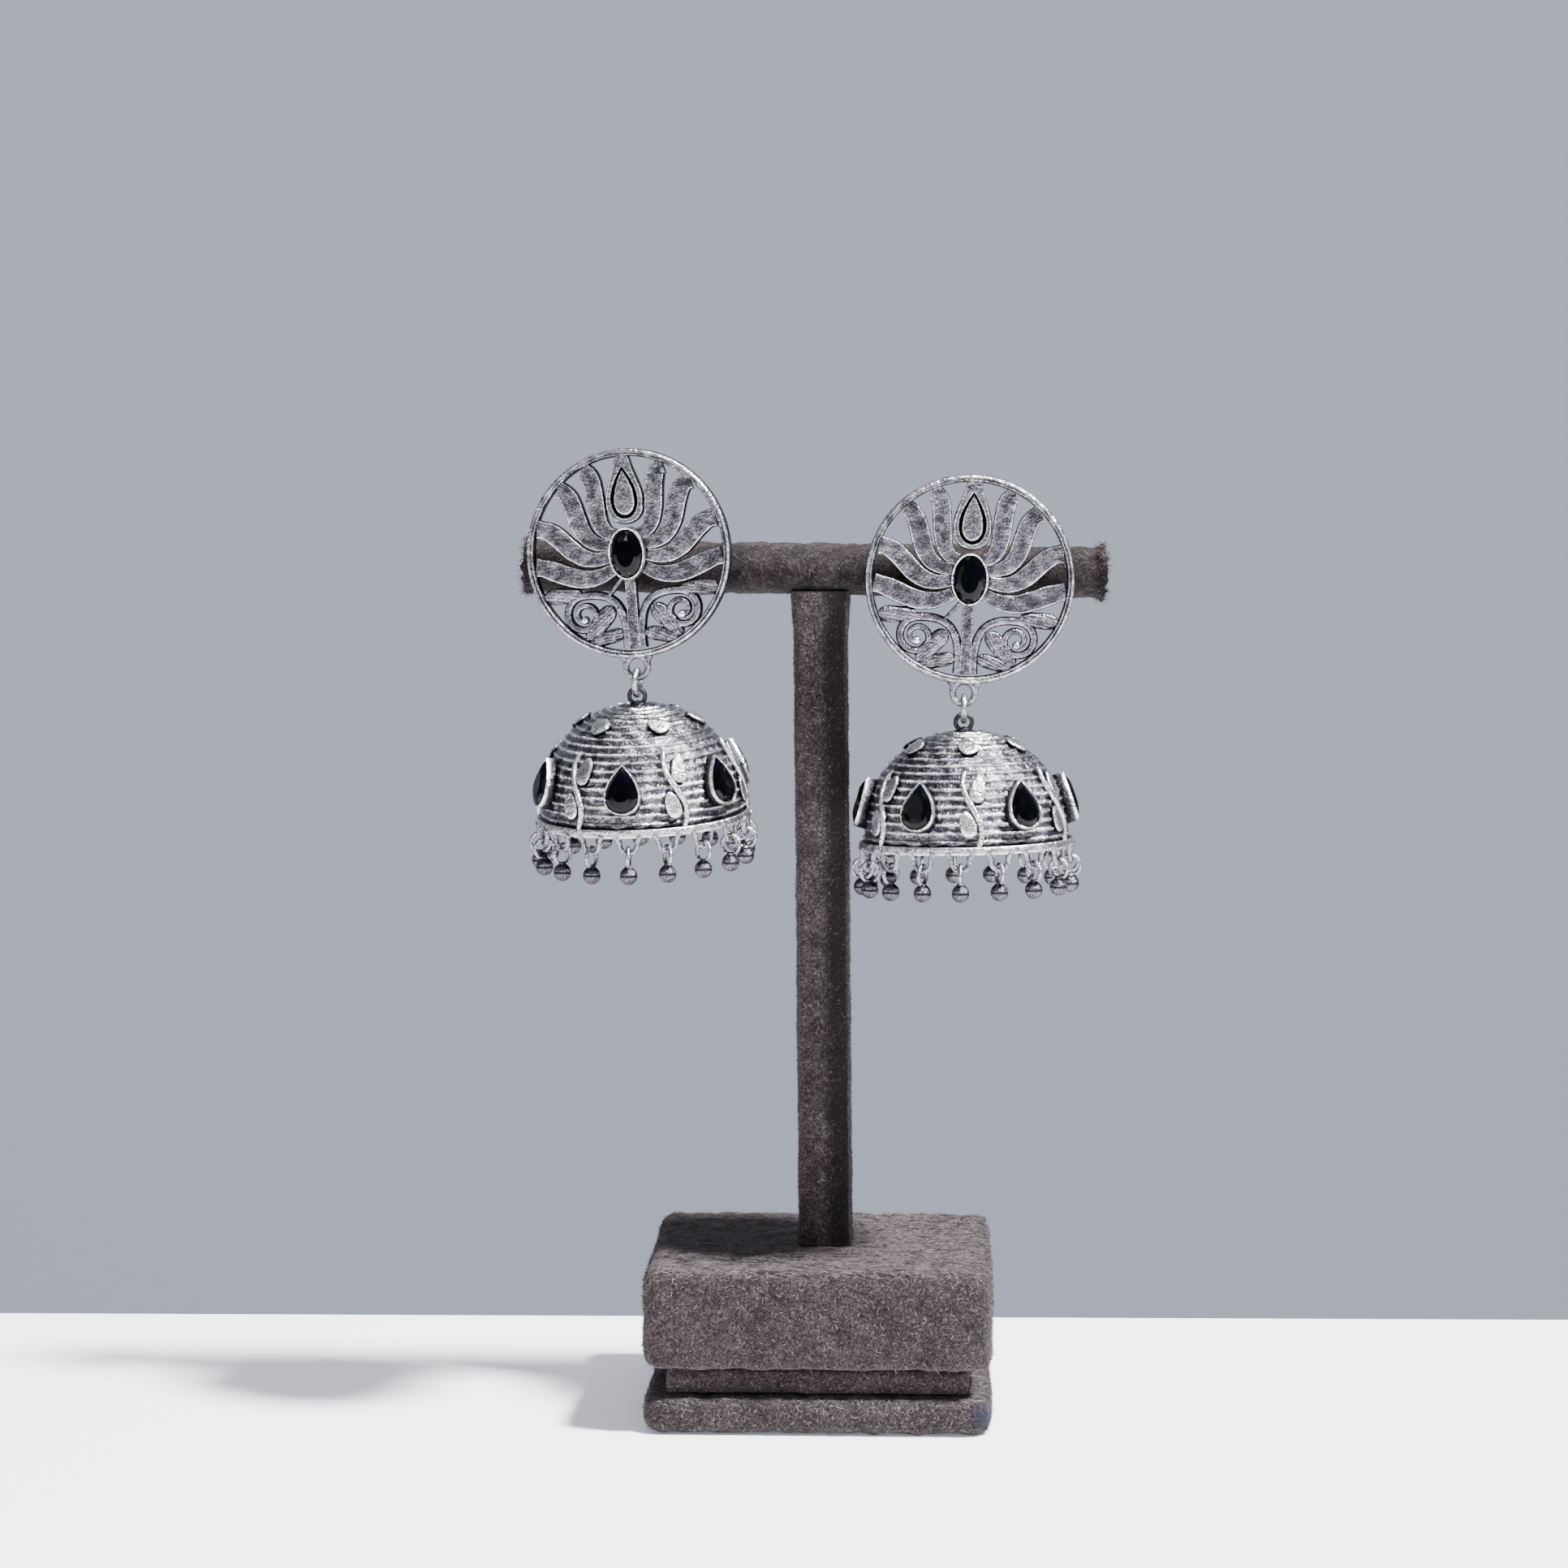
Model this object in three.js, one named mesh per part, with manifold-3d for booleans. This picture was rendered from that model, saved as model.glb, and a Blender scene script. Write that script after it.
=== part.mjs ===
// A pair of jhumka earrings hanging on a suede-covered T-bar stand.
// Millimetres, +Z up, the viewer looks along +Y. The origin is the middle of the stand's underside.
// Each earring is a pierced lotus disc, a jump ring and a hollow ribbed dome fringed with bead drops.
import * as THREE from "three";
import { mergeVertices } from "three/addons/utils/BufferGeometryUtils.js";
import Module from "manifold-3d";

const wasm = await Module();
wasm.setup();
const { degToRad } = THREE.MathUtils;

// Gaps between pieces that touch on the real object
const looseGap = 0.12; // links that hang in one another
const seatGap = 0.12; // a stone in its setting
const standGap = 0.1; // the covered boards of the stand

// Stand: foot, neck and block are covered boards, glued one on another
const footWidth = 47;
const footDepth = 46;
const footHeight = 4.9;
const footCorner = 3;
const footRound = 1.7;
const neckInset = 3; // how far the neck stands back from the foot's edge
const neckHeight = 3.4;
const neckCorner = 1;
const neckRound = 0.3;
const blockWidth = 47;
const blockDepth = 45.5;
const blockHeight = 13.5;
const blockCorner = 2.6;
const blockRound = 2;
const postWidth = 7.4;
const postDepth = 6.4;
const postCorner = 1.4; // how far each corner is rounded off
const postShift = -0.2; // how far right of the block's middle the post's upper end stands
const postLean = 0.8; // and how much farther right its lower end
const postFlare = 0.9; // extra width where the post meets the bar
const postFlareHeight = 9;
const postLength = 89.6; // from the block up to the underside of the bar
const postSeam = 1.6; // the covering's seam, right of the middle
const seamWidth = 0.5;
const seamDepth = 0.35;
const saddleDepth = 0.7; // how far the post's top hugs the bar
const barRadius = 3.7;
const barLength = 80.4;
const barShift = -1.05; // the bar isn't centred on the post
const barTilt = degToRad(0.7);
const barEndLip = 0.3; // the end covers stand proud
const barEndWidth = 1.1;

// Lotus disc
const discRadius = 14.2;
const rimWidth = 1.05;
const rimThick = 1.5;
const rimBevel = 0.3;
const petalThick = 1.15;
const petalBevel = 0.32;
const scrollThick = 1.05;
const leafThick = 1.1;
const earPostRadius = 0.42;
const earPostEnd = 1.6; // how far the post shows behind the bar
const earPostRoot = 0.5; // how deep it is soldered into the bezel's back
const postHoleGap = 0.3;
const ovalWidth = 4.2;
const ovalLength = 6.3;
const ovalFacets = 12;
const bezelWall = 0.5;
const bezelHeight = 2.2;
const bezelFloor = 1.1;
const ovalCrown = 0.65; // how far the stone's crown rises above its setting
const grooveWidth = 0.26; // the groove in the middle petal
const grooveDepth = 0.4;
const wireBevel = 0.25;
const sprigBevel = 0.1;
const loopHole = 1.05; // inner radius of the loop under the disc
const loopWall = 0.9;
const loopDrop = 1.2; // from the rim's edge down to the loop's centre

// Jump ring
const ringRadius = 1.65;
const ringWire = 0.44;

// Dome, from its underside to its top
const domeRadius = 14.1;
const domeHeight = 15.9;
const domeFullness = 2.25; // 2 is an ellipse; more gives squarer shoulders
const domeWall = 0.8;
const domeSides = 18;
const ribPitch = 2.5;
const ribDepth = 0.35;
const bandHeight = 1.3;
const bandLip = 0.5;
const capRadius = 2.3;
const capNeck = 0.75;
const capFlare = 0.35; // how far the cap spreads below its neck
const capStep = 0.22; // and how far down that is
const capRise = 0.2; // the cap stands above the dome's own top
const bandShoulder = 0.25; // height of the slope from the wall out to the band
const eyeHole = 0.78;
const eyeWire = 0.32;

// Stones, vines and leaves round the dome
const motifs = 6;
const pearWidth = 4.1;
const pearLength = 6;
const pearFacets = 8;
const pearRise = 6.3; // the setting's centre above the dome's underside
const settingWall = 0.5;
const settingHeight = 1.15;
const settingFloor = 0.25;
const pearCrown = 0.55;
const vineTop = 10.9;
const vineFoot = 0.7;
const vineSwing = 1.0;
const vineHalf = 0.42;
const vineTall = 0.65;
const reliefSunk = 0.5; // how deep raised work is set into the wall

// Fringe of bead drops
const drops = 17;
const dropPhase = 2; // degrees from a stone to the nearest drop
const rimLoopHole = 0.82;
const rimLoopWall = 0.72;
const rimLoopThick = 0.7;
const loopRoot = 0.4; // how deep a loop's ends go into the band
const loopInset = 0.05; // how far the loops stand back from the band's face
const rimLoopDrop = 0.85; // from the band's edge down to the loop's centre
const linkRadius = 1.32;
const linkWire = 0.27;
const beadRadius = 1.2;
const beadDrop = 3.75; // from the link's top wire down to the bead's centre

// Where each disc sits: clear of the post by its fringe, from the bar's front to the disc's back,
// and from the bar's axis up to the disc's middle
const leftClear = 6.8;
const leftStandOff = 2.9;
const leftRise = 2.3;
const rightClear = 1.1;
const rightStandOff = 1.9;
const rightRise = -1.2;

const silver = { color: 0xa9a8a6, metalness: 1, roughness: 0.38 };
const blackStone = { color: 0x07080b, metalness: 0, roughness: 0.08 };
const suede = { color: 0x5b4a49, metalness: 0, roughness: 0.95 };

// Worked out from the sizes above
const neckBase = footHeight + standGap;
const blockBase = neckBase + neckHeight + standGap;
const blockTop = blockBase + blockHeight;
const postBase = blockTop + standGap;
const barHeight = postBase + postLength + barRadius;
const rimInner = discRadius - rimWidth;
const loopMiddle = discRadius + loopDrop; // below the disc's centre
const loopMean = loopHole + loopWall / 2;
const loopDepth = -rimThick / 2; // the loop lies half-way through the rim
const loopCircle = domeRadius + bandLip - loopInset - rimLoopThick / 2;
// From the post's middle to a disc's middle, were the fringe to touch the post
const fringeReach = postWidth / 2 + loopCircle + beadRadius;
const ringTopInLoop = loopHole - looseGap - ringWire; // below the loop's centre
const eyeMiddle = ringWire + looseGap - eyeHole; // from the ring's lower wire
const eyeMean = eyeHole + eyeWire;
const capTop = eyeMiddle - eyeHole - looseGap;
const domeTop = capTop - capRise;
const domeFoot = domeTop - domeHeight;

// How each earring hangs: its disc's place, then the degrees that disc and dome have turned
const earrings = [
  {
    side: "left",
    x: -fringeReach - leftClear,
    standOff: leftStandOff,
    rise: leftRise,
    turn: -9.6,
    lean: -4.3,
    yaw: -6.5,
    roll: -2.4,
    nod: 5,
  },
  {
    side: "right",
    x: fringeReach + rightClear,
    standOff: rightStandOff,
    rise: rightRise,
    turn: 0,
    lean: 2.8,
    yaw: -27,
    roll: -1.5,
    nod: -1,
  },
];

// Solids and meshes

function toSolid(geometry) {
  const bare = geometry.clone();
  bare.deleteAttribute("normal");
  bare.deleteAttribute("uv");
  const merged = mergeVertices(bare, 1e-4);
  const triVerts = new Uint32Array(merged.index.array);
  const vertProperties = merged.attributes.position.array;
  const made = new wasm.Manifold(new wasm.Mesh({ numProp: 3, vertProperties, triVerts }));
  if (made.volume() > 0) return made;
  // The profile ran the other way round, so each face is turned
  for (let i = 0; i < triVerts.length; i += 3) {
    [triVerts[i + 1], triVerts[i + 2]] = [triVerts[i + 2], triVerts[i + 1]];
  }
  return new wasm.Manifold(new wasm.Mesh({ numProp: 3, vertProperties, triVerts }));
}

function toGeometry(solid) {
  const { numProp, numVert, vertProperties, triVerts } = solid.getMesh();
  const position = new Float32Array(numVert * 3);
  for (let i = 0; i < numVert; i += 1) {
    position.set(vertProperties.subarray(i * numProp, i * numProp + 3), i * 3);
  }
  const geometry = new THREE.BufferGeometry();
  geometry.setAttribute("position", new THREE.BufferAttribute(position, 3));
  geometry.setIndex(new THREE.BufferAttribute(triVerts, 1));
  return geometry;
}

const joined = (geometries) => geometries.map(toSolid).reduce((whole, piece) => whole.add(piece));

function addMesh(group, name, geometry, finish) {
  const mesh = new THREE.Mesh(geometry, new THREE.MeshStandardMaterial({ ...finish, flatShading: true }));
  mesh.name = name;
  group.add(mesh);
  return mesh;
}

// A closed solid through rings of equally many points, capped at both ends
function loft(rings) {
  const count = rings[0].length;
  const index = [];
  for (let r = 0; r + 1 < rings.length; r += 1) {
    for (let i = 0; i < count; i += 1) {
      const [a, b] = [r * count + i, r * count + ((i + 1) % count)];
      index.push(a, b, b + count, a, b + count, a + count);
    }
  }
  const last = (rings.length - 1) * count;
  for (let i = 1; i + 1 < count; i += 1) {
    index.push(0, i + 1, i, last, last + i, last + i + 1);
  }
  const geometry = new THREE.BufferGeometry().setFromPoints(rings.flat());
  geometry.setIndex(index);
  return geometry;
}

// An outline in the disc's plane, extruded from depth `from` towards the viewer
function extrudeForward(shape, from, to, curveSegments = 12) {
  const geometry = new THREE.ExtrudeGeometry(shape, { depth: to - from, bevelEnabled: false, curveSegments });
  return geometry.translate(0, 0, from).rotateX(Math.PI / 2);
}

const lathe = (points, sides) =>
  new THREE.LatheGeometry(points.map(([radius, height]) => new THREE.Vector2(radius, height)), sides);

const ringAlongY = (mean, wire, wireSides, sides) =>
  new THREE.TorusGeometry(mean, wire, wireSides, sides).rotateX(Math.PI / 2);

const ringAlongX = (mean, wire, wireSides, sides) =>
  new THREE.TorusGeometry(mean, wire, wireSides, sides).rotateY(Math.PI / 2);

// Outlines

const ellipse = (width, length, sides) =>
  Array.from({ length: sides }, (_, i) => {
    const turn = (2 * Math.PI * i) / sides;
    return new THREE.Vector2((-width / 2) * Math.sin(turn), (length / 2) * Math.cos(turn));
  });

// A pear with its point up. The curve's widest half-width is 0.77.
const pear = (width, length, sides) =>
  Array.from({ length: sides }, (_, i) => {
    const turn = (2 * Math.PI * i) / sides;
    const across = (-width / 2 / 0.77) * Math.sin(turn) * Math.sin(turn / 2);
    return new THREE.Vector2(across, (length / 2) * Math.cos(turn));
  });

const grown = (outline, by) => {
  const middle = outline.reduce((sum, p) => sum.clone().add(p)).divideScalar(outline.length);
  return outline.map((p) => {
    const out = p.clone().sub(middle);
    return middle.clone().add(out.setLength(out.length() + by));
  });
};

const levelRing = (outline, share, height) =>
  outline.map((p) => new THREE.Vector3(p.x * share, p.y * share, height));

// A cut stone: flat back, girdle, crown facets and a table. It stands on z = 0.
const cutStone = (outline, girdle, crown) =>
  loft([
    levelRing(outline, 0.86, 0),
    levelRing(outline, 1, girdle * 0.45),
    levelRing(outline, 1, girdle),
    levelRing(outline, 0.8, girdle + crown * 0.68),
    levelRing(outline, 0.56, girdle + crown),
  ]);

// Stand

function roundedSlab(width, depth, height, corner, round) {
  const [x, y] = [width / 2 - round, depth / 2 - round];
  const bend = Math.max(corner - round, 0.2);
  const shape = new THREE.Shape();
  shape.absarc(x - bend, y - bend, bend, 0, Math.PI / 2);
  shape.absarc(bend - x, y - bend, bend, Math.PI / 2, Math.PI);
  shape.absarc(bend - x, bend - y, bend, Math.PI, 1.5 * Math.PI);
  shape.absarc(x - bend, bend - y, bend, 1.5 * Math.PI, 2 * Math.PI);
  return new THREE.ExtrudeGeometry(shape, {
    depth: height - 2 * round,
    bevelThickness: round,
    bevelSize: round,
    bevelSegments: 2,
    curveSegments: 1,
  }).translate(0, 0, round);
}

// The post's section at a height, with `wider` and `deeper` added to its size
function postSection(height, wider, deeper) {
  const [x, y] = [(postWidth + wider) / 2, (postDepth + deeper) / 2];
  const soft = postCorner * 0.3;
  const shift = postShift + (postLean * (barHeight - height)) / (barHeight - postBase);
  const quarter = [
    [x, y - postCorner],
    [x - soft, y - soft],
    [x - postCorner, y],
  ];
  return [
    ...quarter,
    ...quarter.map(([a, b]) => [-a, b]).reverse(),
    ...quarter.map(([a, b]) => [-a, -b]),
    ...quarter.map(([a, b]) => [a, -b]).reverse(),
  ].map(([a, b]) => new THREE.Vector3(a + shift, b, height));
}

const barPlace = new THREE.Matrix4()
  .makeRotationY(barTilt)
  .setPosition(barShift, 0, barHeight);

function postGeometry() {
  const top = barHeight - barRadius + saddleDepth;
  const flareStart = top - postFlareHeight;
  const body = toSolid(
    loft([
      postSection(postBase, postFlare * 0.5, postFlare * 0.5),
      postSection(postBase + postFlareHeight * 0.3, 0, 0),
      postSection(flareStart, 0, 0),
      postSection(flareStart + postFlareHeight * 0.6, postFlare * 0.5, 0),
      postSection(top, postFlare, 0),
    ]),
  );
  const barSpace = new THREE.CylinderGeometry(barRadius + standGap, barRadius + standGap, barLength, 20)
    .rotateZ(Math.PI / 2)
    .applyMatrix4(barPlace);
  const seam = new THREE.BoxGeometry(seamWidth, 2 * seamDepth, 2 * barHeight);
  seam.translate(postShift + postSeam, -postDepth / 2, 0);
  return toGeometry(body.subtract(toSolid(barSpace)).subtract(toSolid(seam)));
}

// The bar along X, with a hole for each ear post, given the discs' places
function barGeometry(discPlaces) {
  const half = barLength / 2;
  const lip = barRadius + barEndLip;
  const profile = [
    [0, -half],
    [lip, -half],
    [lip, barEndWidth - half],
    [barRadius, barEndWidth - half],
    [barRadius, half - barEndWidth],
    [lip, half - barEndWidth],
    [lip, half],
    [0, half],
  ];
  const bar = toSolid(lathe(profile, 20).rotateZ(Math.PI / 2));
  const toBar = barPlace.clone().invert();
  const hole = earPostRadius + postHoleGap;
  return toGeometry(
    discPlaces.reduce((left, discPlace) => {
      const drill = new THREE.CylinderGeometry(hole, hole, 6 * barRadius, 10);
      return left.subtract(toSolid(drill.applyMatrix4(discPlace).applyMatrix4(toBar)));
    }, bar),
  );
}

// Lotus disc. Its back is the plane y = 0 and it faces -y.

// Petals on the right: curves from the stone to the rim, in shares of the rim's inner radius
const petals = [
  { from: [0.12, 0.2], lead: [0.42, 0.22], bend: [0.22, 0.85], tip: [0.43, 0.885] },
  { from: [0.18, 0.1], lead: [0.62, 0.09], bend: [0.45, 0.63], tip: [0.7, 0.71] },
  { from: [0.2, -0.02], lead: [0.62, -0.14], bend: [0.66, 0.3], tip: [0.95, 0.31] },
  { from: [0.17, -0.15], lead: [0.5, -0.36], bend: [0.72, -0.12], tip: [0.985, -0.08] },
];
// Leaves among the scrolls: centre lines and widest half-widths, in the same shares
const scrollLeaves = [
  { from: [0.53, -0.385], tip: [0.93, -0.415], half: 0.085 },
  { from: [0.5, -0.86], tip: [0.21, -0.555], half: 0.08 },
  { from: [0.47, -0.9], tip: [0.115, -0.835], half: 0.07 },
];
const petalHalf = 0.084;
const scrollHalf = 0.045;
const scrollTipHalf = 0.026;
const volute = { x: 0.515, z: -0.61, outer: 0.2, inner: 0.06, turn: degToRad(510) };
const stemHalf = 0.055;

const scaled = ([x, z]) => new THREE.Vector2(x * rimInner, z * rimInner);

// A bevelled strip of metal in the disc's plane along a centre line of { point, half }
function strip(line, thick, bevel = petalBevel) {
  const rings = line.map(({ point, half }, i) => {
    const before = line[Math.max(i - 1, 0)].point;
    const after = line[Math.min(i + 1, line.length - 1)].point;
    const along = after.clone().sub(before).normalize();
    const across = new THREE.Vector2(-along.y, along.x);
    const flat = Math.max(half - bevel, half * 0.3);
    const section = [
      [-half, 0],
      [-flat, -thick],
      [flat, -thick],
      [half, 0],
    ];
    return section.map(([side, depth]) => {
      const p = point.clone().addScaledVector(across, side);
      return new THREE.Vector3(p.x, depth, p.y);
    });
  });
  return loft(rings);
}

const mirroredLine = (line) =>
  line.map(({ point, half }) => ({ point: new THREE.Vector2(-point.x, point.y), half }));

function petalLine({ from, lead, bend, tip }) {
  const curve = new THREE.CubicBezierCurve(scaled(from), scaled(lead), scaled(bend), scaled(tip));
  const shares = [0.8, 1, 1, 0.97, 0.84];
  return shares.map((share, i) => ({
    point: curve.getPoint(i / (shares.length - 1)),
    half: petalHalf * rimInner * share,
  }));
}

function scrollLine() {
  const arm = new THREE.CubicBezierCurve(
    scaled([0.085, -0.975]),
    scaled([0.05, -0.5]),
    scaled([0.2, -0.39]),
    scaled([volute.x, volute.z + volute.outer]),
  );
  const armSteps = 4;
  const coilSteps = 9;
  const line = Array.from({ length: armSteps }, (_, i) => ({
    point: arm.getPoint(i / armSteps),
    half: scrollHalf * rimInner,
  }));
  for (let i = 0; i <= coilSteps; i += 1) {
    const share = i / coilSteps;
    const radius = volute.outer - (volute.outer - volute.inner) * share;
    const angle = Math.PI / 2 - volute.turn * share;
    line.push({
      point: scaled([volute.x + radius * Math.cos(angle), volute.z + radius * Math.sin(angle)]),
      half: (scrollHalf - (scrollHalf - scrollTipHalf) * share) * rimInner,
    });
  }
  return line;
}

function leafLine({ from, tip, half }) {
  const shares = [0.45, 1, 0.9, 0.3];
  return shares.map((share, i) => ({
    point: scaled(from).lerp(scaled(tip), i / (shares.length - 1)),
    half: half * rimInner * share,
  }));
}

function straightLine(from, to, half) {
  return [from, to].map((end) => ({ point: scaled(end), half: half * rimInner }));
}

// The upright middle petal: a drop with its point in the rim and a smaller drop grooved into it
function middlePetal() {
  const width = 0.4 * rimInner;
  const [low, middle, shoulder, neck, high] = [0.3, 0.5, 0.68, 0.84, 1.02].map((share) => share * rimInner);
  const body = new THREE.Shape();
  body.moveTo(-0.075 * rimInner, high);
  body.bezierCurveTo(-0.09 * rimInner, neck, -0.56 * width, shoulder, -width / 2, middle);
  body.bezierCurveTo(-width / 2, 0.36 * rimInner, -0.22 * width, low, 0, low);
  body.bezierCurveTo(0.22 * width, low, width / 2, 0.36 * rimInner, width / 2, middle);
  body.bezierCurveTo(0.56 * width, shoulder, 0.09 * rimInner, neck, 0.075 * rimInner, high);
  const groove = pear(0.235 * rimInner, 0.49 * rimInner, 10).map((p) => p.setY(p.y + 0.63 * rimInner));
  const grooveShape = new THREE.Shape(grown(groove, grooveWidth / 2));
  grooveShape.holes.push(new THREE.Path(grown(groove, -grooveWidth / 2)));
  return toSolid(extrudeForward(body, 0, petalThick, 3)).subtract(
    toSolid(extrudeForward(grooveShape, petalThick - grooveDepth, petalThick + grooveDepth)),
  );
}

const bezelOutline = (by) => grown(ellipse(ovalWidth, ovalLength, ovalFacets), by);

function discGeometry() {
  const rim = lathe(
    [
      [rimInner, 0],
      [rimInner + rimBevel, -rimThick],
      [discRadius - rimBevel, -rimThick],
      [discRadius, 0],
      [rimInner, 0],
    ],
    30,
  );
  const lines = petals.map(petalLine);
  const scroll = scrollLine();
  const leaves = scrollLeaves.map(leafLine);
  const farthest = Math.max(...earrings.map(({ standOff }) => standOff));
  const earPost = barRadius * 2 + farthest + earPostEnd;
  const pieces = [
    rim,
    ...lines.flatMap((line) => [strip(line, petalThick), strip(mirroredLine(line), petalThick)]),
    ...[scroll, mirroredLine(scroll)].map((line) => strip(line, scrollThick, wireBevel)),
    ...leaves.flatMap((line) => [strip(line, leafThick), strip(mirroredLine(line), leafThick)]),
    strip(straightLine([0, -0.2], [0, -0.98], stemHalf), petalThick),
    strip(straightLine([-0.08, -0.24], [-0.235, -0.42], 0.02), scrollThick, sprigBevel),
    extrudeForward(new THREE.Shape(bezelOutline(bezelWall)), 0, bezelHeight),
    ringAlongY(loopMean, loopWall / 2, 5, 10).translate(0, loopDepth, -loopMiddle),
    new THREE.CylinderGeometry(earPostRadius, earPostRadius, earPost + earPostRoot, 10)
      .translate(0, (earPost - earPostRoot) / 2, 0),
  ];
  const pocket = extrudeForward(new THREE.Shape(bezelOutline(seatGap)), bezelFloor, bezelHeight + 1);
  return toGeometry(joined(pieces).add(middlePetal()).subtract(toSolid(pocket)));
}

const ovalStone = () =>
  cutStone(ellipse(ovalWidth, ovalLength, ovalFacets), bezelHeight - bezelFloor - seatGap, ovalCrown)
    .rotateX(Math.PI / 2)
    .translate(0, -bezelFloor - seatGap, 0);

// Dome. Its origin is the point it hangs on, and azimuth 0 faces -y.

// Radius and outward slope of the dome's wall at a height above its underside
const wallRadius = (height, inset = 0) =>
  (domeRadius - inset) *
  Math.pow(1 - Math.pow(Math.min(height / (domeHeight - inset), 1), domeFullness), 1 / domeFullness);

function wallFrame(azimuth, height, lateral = 0) {
  const step = 0.05;
  const radius = wallRadius(height);
  const turn = azimuth + lateral / radius;
  const out = new THREE.Vector3(Math.sin(turn), -Math.cos(turn), 0);
  const fall = (wallRadius(height - step) - wallRadius(height + step)) / (2 * step);
  const normal = out.clone().add(new THREE.Vector3(0, 0, fall)).normalize();
  const side = new THREE.Vector3(Math.cos(turn), Math.sin(turn), 0);
  const up = normal.clone().cross(side);
  const place = out.multiplyScalar(radius).setZ(domeFoot + height);
  return new THREE.Matrix4().makeBasis(side, up, normal).setPosition(place);
}

function domeShell() {
  const curve = (inset, from, to, steps) =>
    Array.from({ length: steps + 1 }, (_, i) => {
      const turn = from + ((to - from) * i) / steps;
      const radius = (domeRadius - inset) * Math.pow(Math.sin(turn), 2 / domeFullness);
      return [radius, domeFoot + (domeHeight - inset) * Math.pow(Math.cos(turn), 2 / domeFullness)];
    });
  // Equal steps along the wall, crest and groove by turns
  const fine = curve(0, 0, Math.PI / 2, 400).filter(([radius, height]) => {
    return radius >= capRadius && height >= domeFoot + bandHeight;
  });
  const ribs = [];
  let run = 0;
  fine.forEach(([radius, height], i) => {
    if (i > 0) run += Math.hypot(radius - fine[i - 1][0], height - fine[i - 1][1]);
    if (run >= (ribs.length * ribPitch) / 2) {
      const cut = ribs.length % 2 ? 0 : ribDepth;
      const lean = Math.atan2(height - domeFoot, radius);
      ribs.push([radius - cut * Math.cos(lean), height - cut * Math.sin(lean)]);
    }
  });
  const lip = domeRadius + bandLip;
  const inside = curve(domeWall, 0, Math.PI / 2, 5).reverse();
  return lathe(
    [
      [0, capTop],
      [capNeck, capTop],
      [capNeck + capFlare, capTop - capStep],
      [capRadius - capFlare, domeTop - capStep / 2],
      ...ribs,
      [wallRadius(bandHeight + bandShoulder), domeFoot + bandHeight + bandShoulder],
      [lip, domeFoot + bandHeight],
      [lip, domeFoot],
      ...inside,
    ],
    domeSides,
  ).rotateX(Math.PI / 2);
}

// A wire laid on the wall in an S, with a leaf on its right above and on its left below
const vineSections = [
  { share: 0, swing: -0.1, left: 0.5, right: 0.5 },
  { share: 0.17, swing: -0.8, left: 1, right: 1.9 },
  { share: 0.36, swing: -0.75, left: 1, right: 3.4 },
  { share: 0.52, swing: 0.1, left: 1.2, right: 1 },
  { share: 0.68, swing: 0.85, left: 3.4, right: 1 },
  { share: 0.86, swing: 0.6, left: 1.7, right: 1 },
  { share: 1, swing: -0.5, left: 0.8, right: 0.8 },
];

function vine(azimuth) {
  const rings = vineSections.map(({ share, swing, left, right }) => {
    const height = vineTop + (vineFoot - vineTop) * share;
    const frame = wallFrame(azimuth, height, swing * vineSwing);
    const [west, east] = [-left * vineHalf, right * vineHalf];
    return [
      [west, -reliefSunk],
      [(west + east) / 2, vineTall],
      [east, -reliefSunk],
    ].map(([side, out]) => new THREE.Vector3(side, 0, out).applyMatrix4(frame));
  });
  return loft(rings);
}

const settingOutline = (by) => grown(pear(pearWidth, pearLength, pearFacets), by);

const settingFrame = (index) => wallFrame((2 * Math.PI * index) / motifs, pearRise);

function setting(index) {
  const outer = settingOutline(settingWall);
  return loft([levelRing(outer, 1, -reliefSunk), levelRing(outer, 1, settingHeight)]).applyMatrix4(
    settingFrame(index),
  );
}

function settingPocket(index) {
  const inner = settingOutline(seatGap);
  return loft([levelRing(inner, 1, settingFloor), levelRing(inner, 1, settingHeight + 1)]).applyMatrix4(
    settingFrame(index),
  );
}

function pearStone() {
  const outline = pear(pearWidth, pearLength, pearFacets);
  const bottom = settingFloor + seatGap;
  return cutStone(outline, settingHeight - bottom, pearCrown).translate(0, 0, bottom);
}

const dropAzimuth = (index) => degToRad(dropPhase) + (2 * Math.PI * index) / drops;

// A bent wire with both ends soldered into the band's underside
function rimLoop(index) {
  const outer = rimLoopHole + rimLoopWall;
  const shape = new THREE.Shape();
  shape.moveTo(-outer, rimLoopDrop + loopRoot);
  shape.absarc(0, 0, outer, Math.PI, 2 * Math.PI);
  shape.lineTo(outer, rimLoopDrop + loopRoot);
  shape.lineTo(rimLoopHole, rimLoopDrop + loopRoot);
  shape.absarc(0, 0, rimLoopHole, 0, Math.PI, true);
  shape.lineTo(-rimLoopHole, rimLoopDrop + loopRoot);
  return extrudeForward(shape, -rimLoopThick / 2, rimLoopThick / 2, 2)
    .translate(0, -loopCircle, domeFoot - rimLoopDrop)
    .rotateZ(dropAzimuth(index));
}

// The whole dome, with its eye turned by eyeTurn about the axis
function domeGeometry(eyeTurn) {
  const raised = [];
  for (let i = 0; i < motifs; i += 1) {
    raised.push(setting(i), vine((2 * Math.PI * (i + 0.5)) / motifs));
  }
  for (let i = 0; i < drops; i += 1) raised.push(rimLoop(i));
  const eye = ringAlongY(eyeMean, eyeWire, 5, 10).rotateZ(eyeTurn).translate(0, 0, eyeMiddle);
  let whole = joined([domeShell(), ...raised, eye]);
  for (let i = 0; i < motifs; i += 1) whole = whole.subtract(toSolid(settingPocket(i)));
  return toGeometry(whole);
}

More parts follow.
